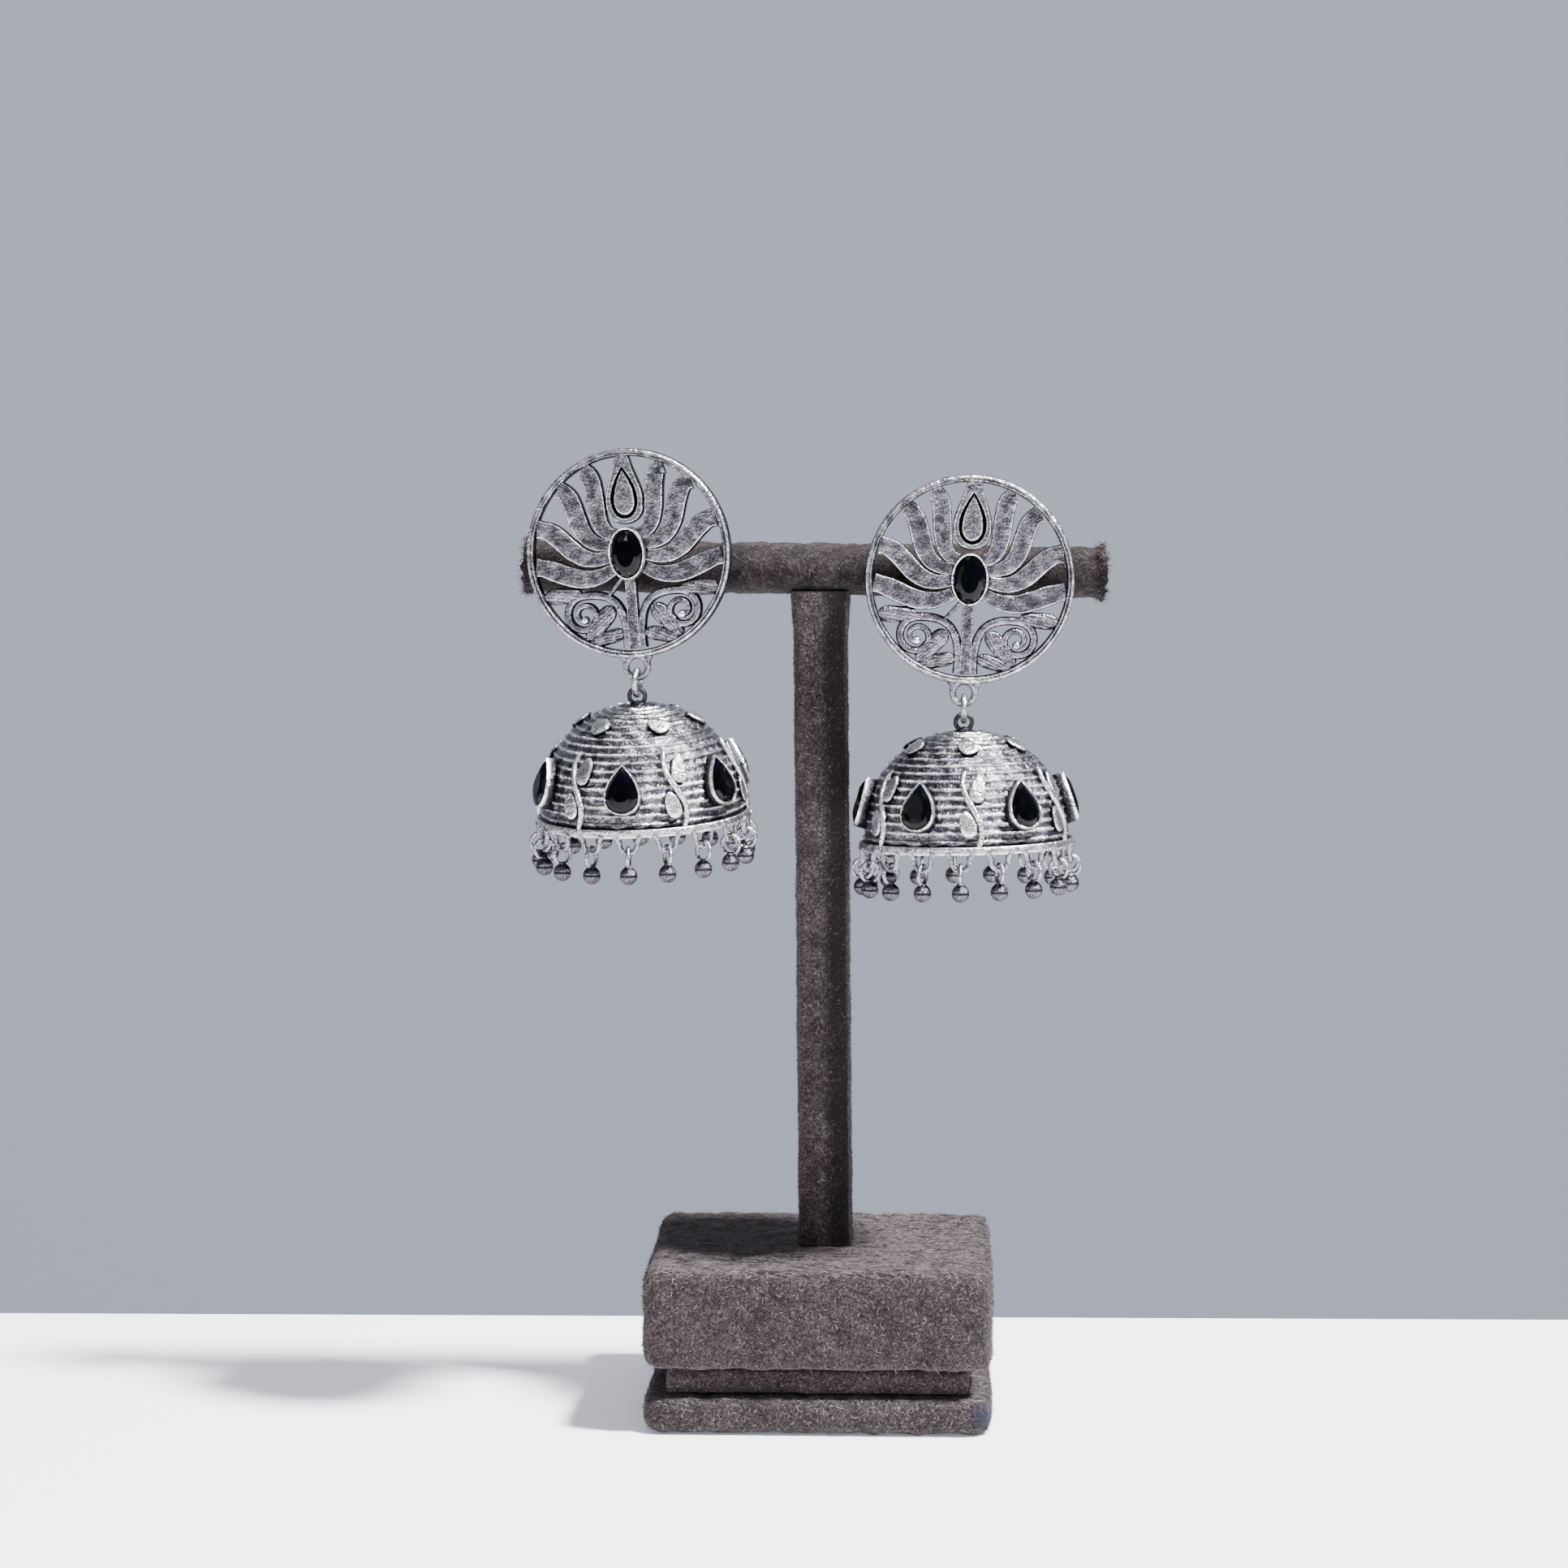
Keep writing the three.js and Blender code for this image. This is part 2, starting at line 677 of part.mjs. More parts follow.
// Bead drop. Its origin is the middle of the link's top wire.
function dropGeometry() {
  const link = ringAlongX(linkRadius, linkWire, 5, 10).translate(0, 0, -linkRadius);
  const bead = new THREE.SphereGeometry(beadRadius, 10, 3).rotateZ(Math.PI / 2).translate(0, 0, -beadDrop);
  return toGeometry(joined([link, bead]));
}

// Assembly

const part = new THREE.Group();
const discShape = discGeometry();
const dropShape = dropGeometry();

function place(group, position) {
  const placed = new THREE.Group();
  placed.position.copy(position);
  group.add(placed);
  return placed;
}

function addStand(discPlaces) {
  const neckWidth = footWidth - 2 * neckInset;
  const neckDepth = footDepth - 2 * neckInset;
  const neck = roundedSlab(neckWidth, neckDepth, neckHeight, neckCorner, neckRound);
  const block = roundedSlab(blockWidth, blockDepth, blockHeight, blockCorner, blockRound);
  addMesh(part, "stand_foot", roundedSlab(footWidth, footDepth, footHeight, footCorner, footRound), suede);
  addMesh(part, "stand_neck", neck, suede).position.setZ(neckBase);
  addMesh(part, "stand_block", block, suede).position.setZ(blockBase);
  addMesh(part, "stand_post", postGeometry(), suede);
  addMesh(part, "stand_bar", barGeometry(discPlaces), suede).applyMatrix4(barPlace);
}

// The disc leans in its own plane, then turns about the upright
function addDisc({ side, x, rise, standOff, turn, lean }) {
  const disc = place(part, new THREE.Vector3(x, -barRadius - standOff, barHeight + rise));
  disc.rotation.set(0, degToRad(lean), degToRad(turn), "ZYX");
  disc.updateMatrix();
  addMesh(disc, `${side}_lotus_disc`, discShape, silver);
  addMesh(disc, `${side}_oval_stone`, ovalStone(), blackStone);
  return disc;
}

// Ring, dome and drops hang plumb below the disc's loop, wherever its lean has carried it
function addHangings(disc, { side, turn, yaw, roll, nod }) {
  const loop = new THREE.Vector3(0, loopDepth, -loopMiddle).applyMatrix4(disc.matrix);
  const ringMiddle = ringTopInLoop + ringRadius;
  const ring = place(part, loop.clone().setZ(loop.z - ringMiddle));
  ring.rotation.z = degToRad(turn);
  addMesh(ring, `${side}_jump_ring`, ringAlongX(ringRadius, ringWire, 5, 12), silver);

  const pivot = place(part, loop.clone().setZ(loop.z - ringMiddle - ringRadius));
  const tilted = place(pivot, new THREE.Vector3());
  tilted.rotation.set(degToRad(nod), degToRad(roll), degToRad(yaw));
  addMesh(tilted, `${side}_dome`, domeGeometry(degToRad(turn - yaw)), silver);
  for (let i = 0; i < motifs; i += 1) {
    addMesh(tilted, `${side}_pear_stone_${i + 1}`, pearStone(), blackStone).applyMatrix4(settingFrame(i));
  }
  // Each drop hangs plumb from its loop, with its link across the loop
  const linkRest = domeFoot - rimLoopDrop - rimLoopHole + looseGap + linkWire;
  for (let i = 0; i < drops; i += 1) {
    const round = dropAzimuth(i);
    const drop = addMesh(pivot, `${side}_drop_${String(i + 1).padStart(2, "0")}`, dropShape, silver);
    drop.position
      .set(loopCircle * Math.sin(round), -loopCircle * Math.cos(round), linkRest)
      .applyEuler(tilted.rotation);
    drop.rotation.z = round + degToRad(yaw);
  }
}

const discs = earrings.map(addDisc);
addStand(discs.map((disc) => disc.matrix));
earrings.forEach((earring, i) => addHangings(discs[i], earring));

export default part;
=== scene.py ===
# Looks for a pair of jhumka earrings on a suede T-bar stand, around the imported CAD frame.
# Shapes are drawn in millimetres and scaled to metres as each mesh is made. The viewer looks along +Y.
import math

import bmesh
import bpy
import numpy as np
from mathutils import Matrix, Vector


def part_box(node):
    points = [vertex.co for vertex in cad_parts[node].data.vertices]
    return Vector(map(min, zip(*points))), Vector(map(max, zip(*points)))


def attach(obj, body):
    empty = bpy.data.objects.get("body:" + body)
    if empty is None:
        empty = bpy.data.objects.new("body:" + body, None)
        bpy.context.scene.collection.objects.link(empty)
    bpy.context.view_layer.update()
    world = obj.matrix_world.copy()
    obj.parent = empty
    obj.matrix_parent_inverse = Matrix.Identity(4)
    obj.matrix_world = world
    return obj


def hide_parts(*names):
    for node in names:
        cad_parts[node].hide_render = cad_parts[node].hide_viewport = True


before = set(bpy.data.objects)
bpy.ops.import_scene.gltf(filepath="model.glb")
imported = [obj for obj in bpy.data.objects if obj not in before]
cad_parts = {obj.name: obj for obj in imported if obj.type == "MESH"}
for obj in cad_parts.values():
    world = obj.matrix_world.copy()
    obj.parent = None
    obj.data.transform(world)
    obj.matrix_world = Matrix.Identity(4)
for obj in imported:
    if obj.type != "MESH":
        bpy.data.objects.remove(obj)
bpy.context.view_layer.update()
mm = 0.001
print("frame loaded:", len(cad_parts), "nodes")


def addObject(name, data):
    thing = bpy.data.objects.new(name, data)
    bpy.context.scene.collection.objects.link(thing)
    return thing


# The camera stands where the photograph was taken from, in millimetres and degrees
cameraSettings = {"place": (15.0, -564.5, 134.2), "lens": 94.48, "pitch": -4.9, "yaw": 2.05}


def addCamera(settings):
    camera = bpy.data.cameras.new("photoCamera")
    camera.lens = settings["lens"]
    camera.sensor_width = 36
    camera.clip_start = 0.01
    camera.clip_end = 30
    holder = addObject("photoCamera", camera)
    holder.location = Vector(settings["place"]) * mm
    holder.rotation_euler = (math.radians(90 + settings["pitch"]), 0, math.radians(settings["yaw"]))
    bpy.context.scene.camera = holder


addCamera(cameraSettings)


# Mesh tools. A part is a dictionary of points, faces and one value per point. On the silver it is wear: 0 in
# a black recess, 1 on a rubbed edge. On the suede it is tone, with painted light on level tops and painted
# shade at the post's seam.

def fullTurn(count):
    return np.linspace(0, 2 * math.pi, count, endpoint=False)


def grid(x, y, z):
    return np.stack(np.broadcast_arrays(x, y, z), axis=-1)


def surface(rings, wear=0.5, capped=True):
    # Rows of points, each row closed round. capped fills the first and the last row.
    rings = np.asarray(rings, float)
    rows, columns = rings.shape[:2]
    index = np.arange(rows * columns).reshape(rows, columns)
    after = np.roll(index, -1, axis=1)
    faces = np.stack([index[:-1], after[:-1], after[1:], index[1:]], axis=-1).reshape(-1, 4).tolist()
    if capped:
        faces += [index[0][::-1].tolist(), index[-1].tolist()]
    wear = np.broadcast_to(np.asarray(wear, float), (rows, columns)).ravel()
    return {"points": rings.reshape(-1, 3), "faces": faces, "wear": wear}


def joinParts(parts):
    faces = []
    start = 0
    for part in parts:
        faces += [[i + start for i in face] for face in part["faces"]]
        start += len(part["points"])
    points = np.concatenate([part["points"] for part in parts])
    wear = np.concatenate([part["wear"] for part in parts])
    return {"points": points, "faces": faces, "wear": wear}


def moved(part, matrix):
    turned = np.array(matrix.to_3x3())
    points = part["points"] @ turned.T + np.array(matrix.translation)
    return {**part, "points": points}


def shift(*by):
    return Matrix.Translation(by)


def turning(degrees, axis):
    return Matrix.Rotation(math.radians(degrees), 4, axis)


def unit(vectors):
    return vectors / np.linalg.norm(vectors, axis=1, keepdims=True)


def ripple(points, wavelength, seed, waves=9):
    # Smooth unevenness that is the same each run: plane waves in seeded directions
    dice = np.random.default_rng(seed)
    directions = unit(dice.normal(size=(waves, 3)))
    lengths = wavelength * dice.uniform(0.7, 1.7, (waves, 1))
    phases = dice.uniform(0, 2 * math.pi, waves)
    return np.sin(points @ (2 * math.pi * directions / lengths).T + phases).sum(axis=-1) / math.sqrt(waves)


def bezier(start, lead, bend, end, steps):
    t = np.linspace(0, 1, steps)[:, None]
    a, b, c, d = (np.asarray(p, float) for p in (start, lead, bend, end))
    return (1 - t) ** 3 * a + 3 * (1 - t) ** 2 * t * b + 3 * (1 - t) * t ** 2 * c + t ** 3 * d


forwards = np.array([0.0, -1.0, 0.0])


def tube(path, radius, ups, sides=10, wear=0.7, flat=1.0):
    # A round or flattened wire along a path. ups point away from what the wire lies on.
    path = np.asarray(path, float)
    along = unit(np.gradient(path, axis=0))
    across = unit(np.cross(along, ups))
    ups = np.cross(across, along)
    radius = np.broadcast_to(np.asarray(radius, float), len(path))
    turns = fullTurn(sides)
    rings = (
        path[:, None]
        + across[:, None] * (radius[:, None] * np.cos(turns))[..., None]
        + ups[:, None] * (radius[:, None] * flat * np.sin(turns))[..., None]
    )
    return surface(rings, wear)


def ring(mean, wire, sides=40, wireSides=12, wear=0.7):
    # A wire ring in the XZ plane
    turns, bends = fullTurn(sides), fullTurn(wireSides)
    reach = mean + wire * np.cos(bends)
    rings = grid(np.sin(turns)[:, None] * reach, wire * np.sin(bends), np.cos(turns)[:, None] * reach)
    return surface(np.concatenate([rings, rings[:1]]), wear, capped=False)


def lathe(profile, sides, wear):
    # A profile of (radius, height) turned round z, with the wear of each row
    profile = np.asarray(profile, float)
    turns = fullTurn(sides)
    rings = grid(profile[:, :1] * np.sin(turns), -profile[:, :1] * np.cos(turns), profile[:, 1:2])
    return surface(rings, np.asarray(wear, float)[:, None], capped=False)


def loft(levels):
    # Levels of (outline, height, wear), closed at both ends
    rings = [np.column_stack([outline, np.full(len(outline), height)]) for outline, height, _ in levels]
    return surface(rings, np.array([wear for _, _, wear in levels])[:, None])


def mound(outline, levels, place):
    # One outline at levels of (share, height, wear)
    return moved(loft([(outline * share, height, wear) for share, height, wear in levels]), place)


def addPiece(name, part, material, body, node, place=None, sharpAngle=40):
    # part may also be a mesh that another piece already has
    mesh = part
    if isinstance(part, dict):
        mesh = bpy.data.meshes.new(name)
        mesh.from_pydata((part["points"] * mm).tolist(), [], part["faces"])
        wear = mesh.attributes.new("wear", "FLOAT", "POINT")
        wear.data.foreach_set("value", part["wear"].astype(np.float32))
        shape = bmesh.new()
        shape.from_mesh(mesh)
        bmesh.ops.remove_doubles(shape, verts=shape.verts, dist=1e-7)
        bmesh.ops.recalc_face_normals(shape, faces=shape.faces)
        shape.to_mesh(mesh)
        shape.free()
        mesh.materials.append(material)
        mesh.shade_smooth()
        mesh.set_sharp_from_angle(angle=math.radians(sharpAngle))
    piece = addObject(name, mesh)
    if place is not None:
        piece.matrix_world = place
    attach(piece, body)
    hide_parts(node)
    return piece


def inMetres(matrix):
    return shift(*(matrix.translation * mm)) @ matrix.to_3x3().to_4x4()


def cube(low, high):
    shape = bmesh.new()
    bmesh.ops.create_cube(shape, size=1)
    bmesh.ops.scale(shape, vec=Vector(high) - Vector(low), verts=shape.verts)
    bmesh.ops.translate(shape, vec=(Vector(low) + Vector(high)) / 2, verts=shape.verts)
    return shape


# Materials

def newMaterial(name, fixed):
    material = bpy.data.materials.new(name)
    material.use_nodes = True
    shader = material.node_tree.nodes["Principled BSDF"]
    for socket, value in fixed.items():
        shader.inputs[socket].default_value = value
    return material, shader


def addNode(material, kind, inputs=None, **settings):
    node = material.node_tree.nodes.new(kind)
    for setting, value in settings.items():
        setattr(node, setting, value)
    for socket, value in (inputs or {}).items():
        if isinstance(value, bpy.types.NodeSocket):
            material.node_tree.links.new(value, node.inputs[socket])
        else:
            node.inputs[socket].default_value = value
    return node


def addRamp(material, factor, stops):
    node = addNode(material, "ShaderNodeValToRGB", {"Fac": factor})
    ramp = node.color_ramp
    while len(ramp.elements) < len(stops):
        ramp.elements.new(0.5)
    for element, (position, color) in zip(ramp.elements, stops):
        element.position = position
        element.color = (*color, 1)
    return node.outputs["Color"]


def addNoise(material, scale, detail=3, roughness=0.55, stretch=(1, 1, 1)):
    place = addNode(material, "ShaderNodeTexCoord").outputs["Object"]
    if stretch != (1, 1, 1):
        place = addNode(material, "ShaderNodeMapping", {"Vector": place, "Scale": stretch}).outputs["Vector"]
    inputs = {"Vector": place, "Scale": scale, "Detail": detail, "Roughness": roughness}
    return addNode(material, "ShaderNodeTexNoise", inputs).outputs["Fac"]


def addMath(material, operation, first, second=0.5):
    return addNode(material, "ShaderNodeMath", {0: first, 1: second}, operation=operation).outputs["Value"]


def addUp(material, *values):
    total = values[0]
    for value in values[1:]:
        total = addMath(material, "ADD", total, value)
    return total


def centred(material, value, gain=1.0):
    # Half is taken off, so that the value goes both ways from zero
    return addMath(material, "MULTIPLY", addMath(material, "SUBTRACT", value), gain)


def addRange(material, value, source, target):
    inputs = dict(zip(("From Min", "From Max", "To Min", "To Max"), (*source, *target)))
    return addNode(material, "ShaderNodeMapRange", {"Value": value, **inputs}).outputs["Result"]


def wearAndShadeOf(material):
    return addNode(material, "ShaderNodeAttribute", attribute_name="wear").outputs["Fac"]


def join(material, output, shader, socket):
    material.node_tree.links.new(output, shader.inputs[socket])


def addBump(material, shader, height, strength, distance):
    inputs = {"Strength": strength, "Distance": distance, "Height": height}
    join(material, addNode(material, "ShaderNodeBump", inputs).outputs["Normal"], shader, "Normal")


# Scales of noises are per metre. Each color stop is a tone and the color there.
silverLook = {
    "patches": 260,  # rubbed and stained patches
    "grain": 3600,  # cast grain
    "dents": 900,
    "colors": [
        (0.14, (0.0035, 0.003, 0.0045)),
        (0.38, (0.05, 0.045, 0.056)),
        (0.57, (0.22, 0.208, 0.24)),
        (0.78, (0.62, 0.61, 0.63)),
        (0.97, (0.97, 0.965, 0.94)),
    ],
    "blotch": 0.2,  # how far the patches shift the tone
    "specks": 0.55,  # how far the grain shifts it
    "toneSpan": (0.1, 1),
    "roughness": (0.45, 0.18),  # at the ends of toneSpan
    "bump": 1.0,
    "bumpDepth": 0.0001,
    "hammered": 3.4,  # the dents' height in grains
}


def oxidisedSilver(look):
    material, shader = newMaterial("oxidised_silver", {"Metallic": 1.0})
    patches = addNoise(material, look["patches"], 2)
    grain = addNoise(material, look["grain"], 4, 0.6)
    blotch = centred(material, patches, look["blotch"])
    tone = addUp(material, wearAndShadeOf(material), blotch, centred(material, grain, look["specks"]))
    join(material, addRamp(material, tone, look["colors"]), shader, "Base Color")
    join(material, addRange(material, tone, look["toneSpan"], look["roughness"]), shader, "Roughness")
    dents = addMath(material, "MULTIPLY", addNoise(material, look["dents"], 2), look["hammered"])
    addBump(material, shader, addUp(material, grain, dents), look["bump"], look["bumpDepth"])
    return material


def blackStone():
    material, shader = newMaterial("black_stone", {"Roughness": 0.05, "Specular IOR Level": 0.16})
    clouds = addNoise(material, 450, 2)
    tones = [(0.4, (0.0005, 0.0005, 0.0007)), (0.75, (0.0013, 0.0014, 0.0042))]
    join(material, addRamp(material, clouds, tones), shader, "Base Color")
    return material


suedeLook = {
    "clouds": 90,
    "cloudShare": 0.15,  # the nap has the rest
    "nap": 2600,
    "napDepth": 0.0004,
    "curls": {1500: 0.17, 1100: -0.13},  # a noise, and how much lighter its curls are
    "curlWidth": 0.05,
    "flecks": 620,
    "fleckStretch": (0.6, 1.9, 1),
    "fleckTone": -0.3,
    "colors": [
        (0.30, (0.007, 0.005, 0.0056)),
        (0.48, (0.027, 0.019, 0.0205)),
        (0.60, (0.055, 0.041, 0.044)),
        (0.78, (0.13, 0.106, 0.113)),
    ],
    "fibreColors": [
        (0.0, (0.005, 0.0036, 0.0042)),
        (0.35, (0.029, 0.021, 0.023)),
        (0.7, (0.093, 0.075, 0.080)),
        (1, (0.27, 0.24, 0.247)),
    ],
    "stain": {"place": (0.0231, -0.0226, 0.0026), "reach": 0.0022, "color": (0.010, 0.017, 0.036, 1)},
}


def stained(material, color, stain):
    # A blue smudge on the foot's front right corner
    place = addNode(material, "ShaderNodeTexCoord").outputs["Object"]
    away = addNode(material, "ShaderNodeVectorMath", {0: place, 1: stain["place"]}, operation="DISTANCE")
    ragged = addMath(material, "MULTIPLY", addNoise(material, 900, 2), stain["reach"])
    near = addUp(material, away.outputs["Value"], ragged)
    share = addRange(material, near, (stain["reach"], 1.9 * stain["reach"]), (0.8, 0.0))
    mix = addNode(material, "ShaderNodeMixRGB", {"Fac": share, "Color1": color, "Color2": stain["color"]})
    return mix.outputs["Color"]


def suede(look):
    fixed = {"Roughness": 0.96, "Specular IOR Level": 0.15, "Sheen Weight": 0.1, "Sheen Roughness": 0.5}
    material, shader = newMaterial("suede", fixed)
    clouds = addMath(material, "MULTIPLY", addNoise(material, look["clouds"], 1), look["cloudShare"])
    nap = addNoise(material, look["nap"], 3, 0.7)
    # The attribute brings the suede's tone, with painted light on level tops and painted shade at the post's
    # seam
    shade = wearAndShadeOf(material)
    tones = [clouds, addMath(material, "MULTIPLY", nap, 1 - look["cloudShare"]), centred(material, shade)]
    # Light curls follow the middle level of one noise, dark ones that of another
    for scale, gain in look["curls"].items():
        away = addMath(material, "SUBTRACT", addNoise(material, scale, 1, 0.5))
        away = addMath(material, "ABSOLUTE", away)
        tones.append(addRange(material, away, (0, look["curlWidth"]), (gain, 0)))
    # Dark flecks in rows along x, only on level tops, which the painted top light makes the highest values
    flecks = addNoise(material, look["flecks"], 2, 0.5, look["fleckStretch"])
    flecks = addRange(material, flecks, (0.38, 0.47), (look["fleckTone"], 0))
    tones.append(addMath(material, "MULTIPLY", flecks, addRange(material, shade, (0.58, 0.62), (0, 1))))
    color = addRamp(material, addUp(material, *tones), look["colors"])
    join(material, stained(material, color, look["stain"]), shader, "Base Color")
    addBump(material, shader, nap, 0.9, look["napDepth"])
    return material


def suedeFibre(look):
    material, shader = newMaterial("suede_fibre", {"Roughness": 0.9, "Specular IOR Level": 0.2})
    color = addRamp(material, wearAndShadeOf(material), look["fibreColors"])
    join(material, stained(material, color, look["stain"]), shader, "Base Color")
    return material


silverMaterial = oxidisedSilver(silverLook)
stoneMaterial = blackStone()
suedeMaterial = suede(suedeLook)
fibreMaterial = suedeFibre(suedeLook)
print("materials ready")


# Suede stand

standLook = {
    "boardStep": 0.65,  # mesh size on the boards
    "lump": 0.16,
    # Painted light: level tops are painted lighter by this much
    "paintedTopLight": 0.16,  # how much lighter level tops are
    "nap": {"foot": 0.5, "neck": 0.4, "block": 0.52, "post": 0.36, "bar": 0.85},  # fibre length
    "fibresPerMm2": {"foot": 8.5, "neck": 5.0, "block": 9.5, "post": 12.0, "bar": 14.0},
    "fibreShade": {"foot": 0.38, "neck": 0.34, "block": 0.34, "post": 0.3, "bar": 0.4},
    "shadeSpread": 0.21,
    "darkOnTop": 0.45,  # share of the strands on a top that are dark
    "combed": 0.3,  # how far the strands on a top stray from the x axis
    "curl": 1.4,
    "fibreWidth": 0.07,
    "fibreRise": 0.5,  # how far a fibre stands up, as a share of its length
    "postWidth": 7.4,
    "postDepth": 6.4,
    "postShift": -0.2,
    "postLean": 0.8,  # the post's foot is this far right of its top
    "postFlare": 0.9,  # under the bar
    "postSquareness": 6.5,  # 2 would be an ellipse
    "seamAcross": 1.05,  # right of the post's middle
    "seamGap": 0.5,
    "seamDepth": 0.45,
    "seamStep": 0.2,
    "barRadius": 3.7,
    "barTilt": 0.7,
    "barLip": 0.3,
    "lipWidth": 1.1,
}

levelTop = 0.85  # a normal's z from here on counts as a top


def boxInMm(node):
    low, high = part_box(node)
    return np.array(low) / mm, np.array(high) / mm


def board(node, corner, edge, look, seed, lump):
    # A board with rounded edges, remeshed finely and made uneven
    shape = cube(*boxInMm(node))
    upright = [e for e in shape.edges if abs(e.verts[0].co.z - e.verts[1].co.z) > 1]
    bmesh.ops.bevel(shape, geom=upright, offset=corner, segments=4, profile=0.5, affect="EDGES")
    level = [e for e in shape.edges if abs(e.verts[0].co.z - e.verts[1].co.z) < 1e-4]
    level = [e for e in level if abs(e.link_faces[0].normal.dot(e.link_faces[1].normal)) < 0.2]
    bmesh.ops.bevel(shape, geom=level, offset=edge, segments=4, profile=0.5, affect="EDGES")
    mesh = bpy.data.meshes.new("board")
    shape.to_mesh(mesh)
    shape.free()
    holder = addObject("board", mesh)
    remesh = holder.modifiers.new("even", "REMESH")
    remesh.mode = "VOXEL"
    remesh.voxel_size = look["boardStep"]
    graph = bpy.context.evaluated_depsgraph_get()
    fine = bpy.data.meshes.new_from_object(holder.evaluated_get(graph))
    bpy.data.objects.remove(holder)
    points, normals = (np.zeros(len(fine.vertices) * 3) for _ in range(2))
    fine.vertices.foreach_get("co", points)
    fine.vertices.foreach_get("normal", normals)
    points, normals = points.reshape(-1, 3), normals.reshape(-1, 3)
    lumps = 0.6 * ripple(points, 5, seed) + 0.5 * ripple(points, 1.9, seed + 1)
    points = points + normals * (lump * (lumps - 0.7))[:, None]
    # Level tops are painted lighter, as painted light from above
    wear = 0.5 + 0.03 * lumps + look["paintedTopLight"] * (normals[:, 2] > levelTop)
    return {"points": points, "faces": [list(face.vertices) for face in fine.polygons], "wear": wear}


def fibres(part, name, look, seed):
    # Short strands scattered over a surface: combed flat along x on top, loose curls elsewhere
    dice = np.random.default_rng(seed)
    corners = []
    for face in part["faces"]:
        corners += [(face[0], face[i], face[i + 1]) for i in range(1, len(face) - 1)]
    # Each strand takes the value under it, with the painted light on level tops and the painted shade at the
    # post's seam
    under = part["wear"][np.array(corners)].mean(axis=1)
    corners = part["points"][np.array(corners)]
    first, second = corners[:, 1] - corners[:, 0], corners[:, 2] - corners[:, 0]
    normals = np.cross(first, second)
    areas = np.linalg.norm(normals, axis=1) / 2 + 1e-9
    steepest = np.abs(normals).max(axis=1) / (2 * areas)
    # None underneath, and twice as many on rounded edges
    weight = areas * (normals[:, 2] / (2 * areas) > -0.75) * (1 + 1.0 * (steepest < 0.93))
    count = int(weight.sum() * look["fibresPerMm2"][name])
    chosen = dice.choice(len(areas), count, p=weight / weight.sum())
    u, v = dice.random(count), dice.random(count)
    u, v = np.where(u + v > 1, 1 - u, u), np.where(u + v > 1, 1 - v, v)
    roots = corners[chosen, 0] + first[chosen] * u[:, None] + second[chosen] * v[:, None]
    out = normals[chosen] / (2 * areas[chosen, None])
    onTop = out[:, 2:] > levelTop
    combed = np.array([1, 0, 0]) * np.sign(dice.normal(size=(count, 1)))
    combed = combed + look["combed"] * dice.normal(size=(count, 3))
    loose = dice.normal(size=(count, 3)) + np.array([0, 0, -0.3])
    flat = np.where(onTop, combed, loose)
    flat = unit(flat - out * (flat * out).sum(axis=1, keepdims=True))
    across = np.cross(out, flat)
    length = look["nap"][name] * np.clip(dice.lognormal(0, 0.35, (count, 1)), 0.3, 2)
    length = length * np.where(onTop, 1.3, 1)
    width = look["fibreWidth"] * dice.uniform(0.6, 1.3, (count, 1))
    rise = look["fibreRise"] * dice.uniform(0.15, 1, (count, 1)) * length * np.where(onTop, 0.6, 1)
    bend = (dice.normal(0, look["curl"], (count, 1)) + 0.01) * np.where(onTop, 0.3, 1)
    points = []
    for share, taper in ((0, 1), (0.55, 0.9), (1, 0)):
        turn = bend * share
        line = roots + flat * length * np.sin(turn) / bend + across * length * (1 - np.cos(turn)) / bend
        line = line + out * rise * math.sin(0.8 * math.pi * share)
        side = (across * np.cos(turn) - flat * np.sin(turn)) * width * taper / 2
        points += [line - side, line + side] if taper else [line]
    points = np.stack(points, axis=1)
    points[..., 2] = np.maximum(points[..., 2], 0.05)
    base = np.arange(count)[:, None] * 5
    faces = (base + np.array([0, 1, 3, 2])).tolist() + (base + np.array([2, 3, 4])).tolist()
    middle = look["fibreShade"][name]
    # A strand's shade follows the surface under it, painted light on tops and painted shade at the seam
    # included
    shade = middle + 0.9 * (under[chosen] - 0.5) + dice.normal(0, look["shadeSpread"], count)
    shade += 0.3 * middle * dice.exponential(1, count)
    shade = np.where(onTop[:, 0] & (dice.random(count) < look["darkOnTop"]), 0.03, shade)
    return {"points": points.reshape(-1, 3), "faces": faces, "wear": np.repeat(np.clip(shade, 0, 1), 5)}


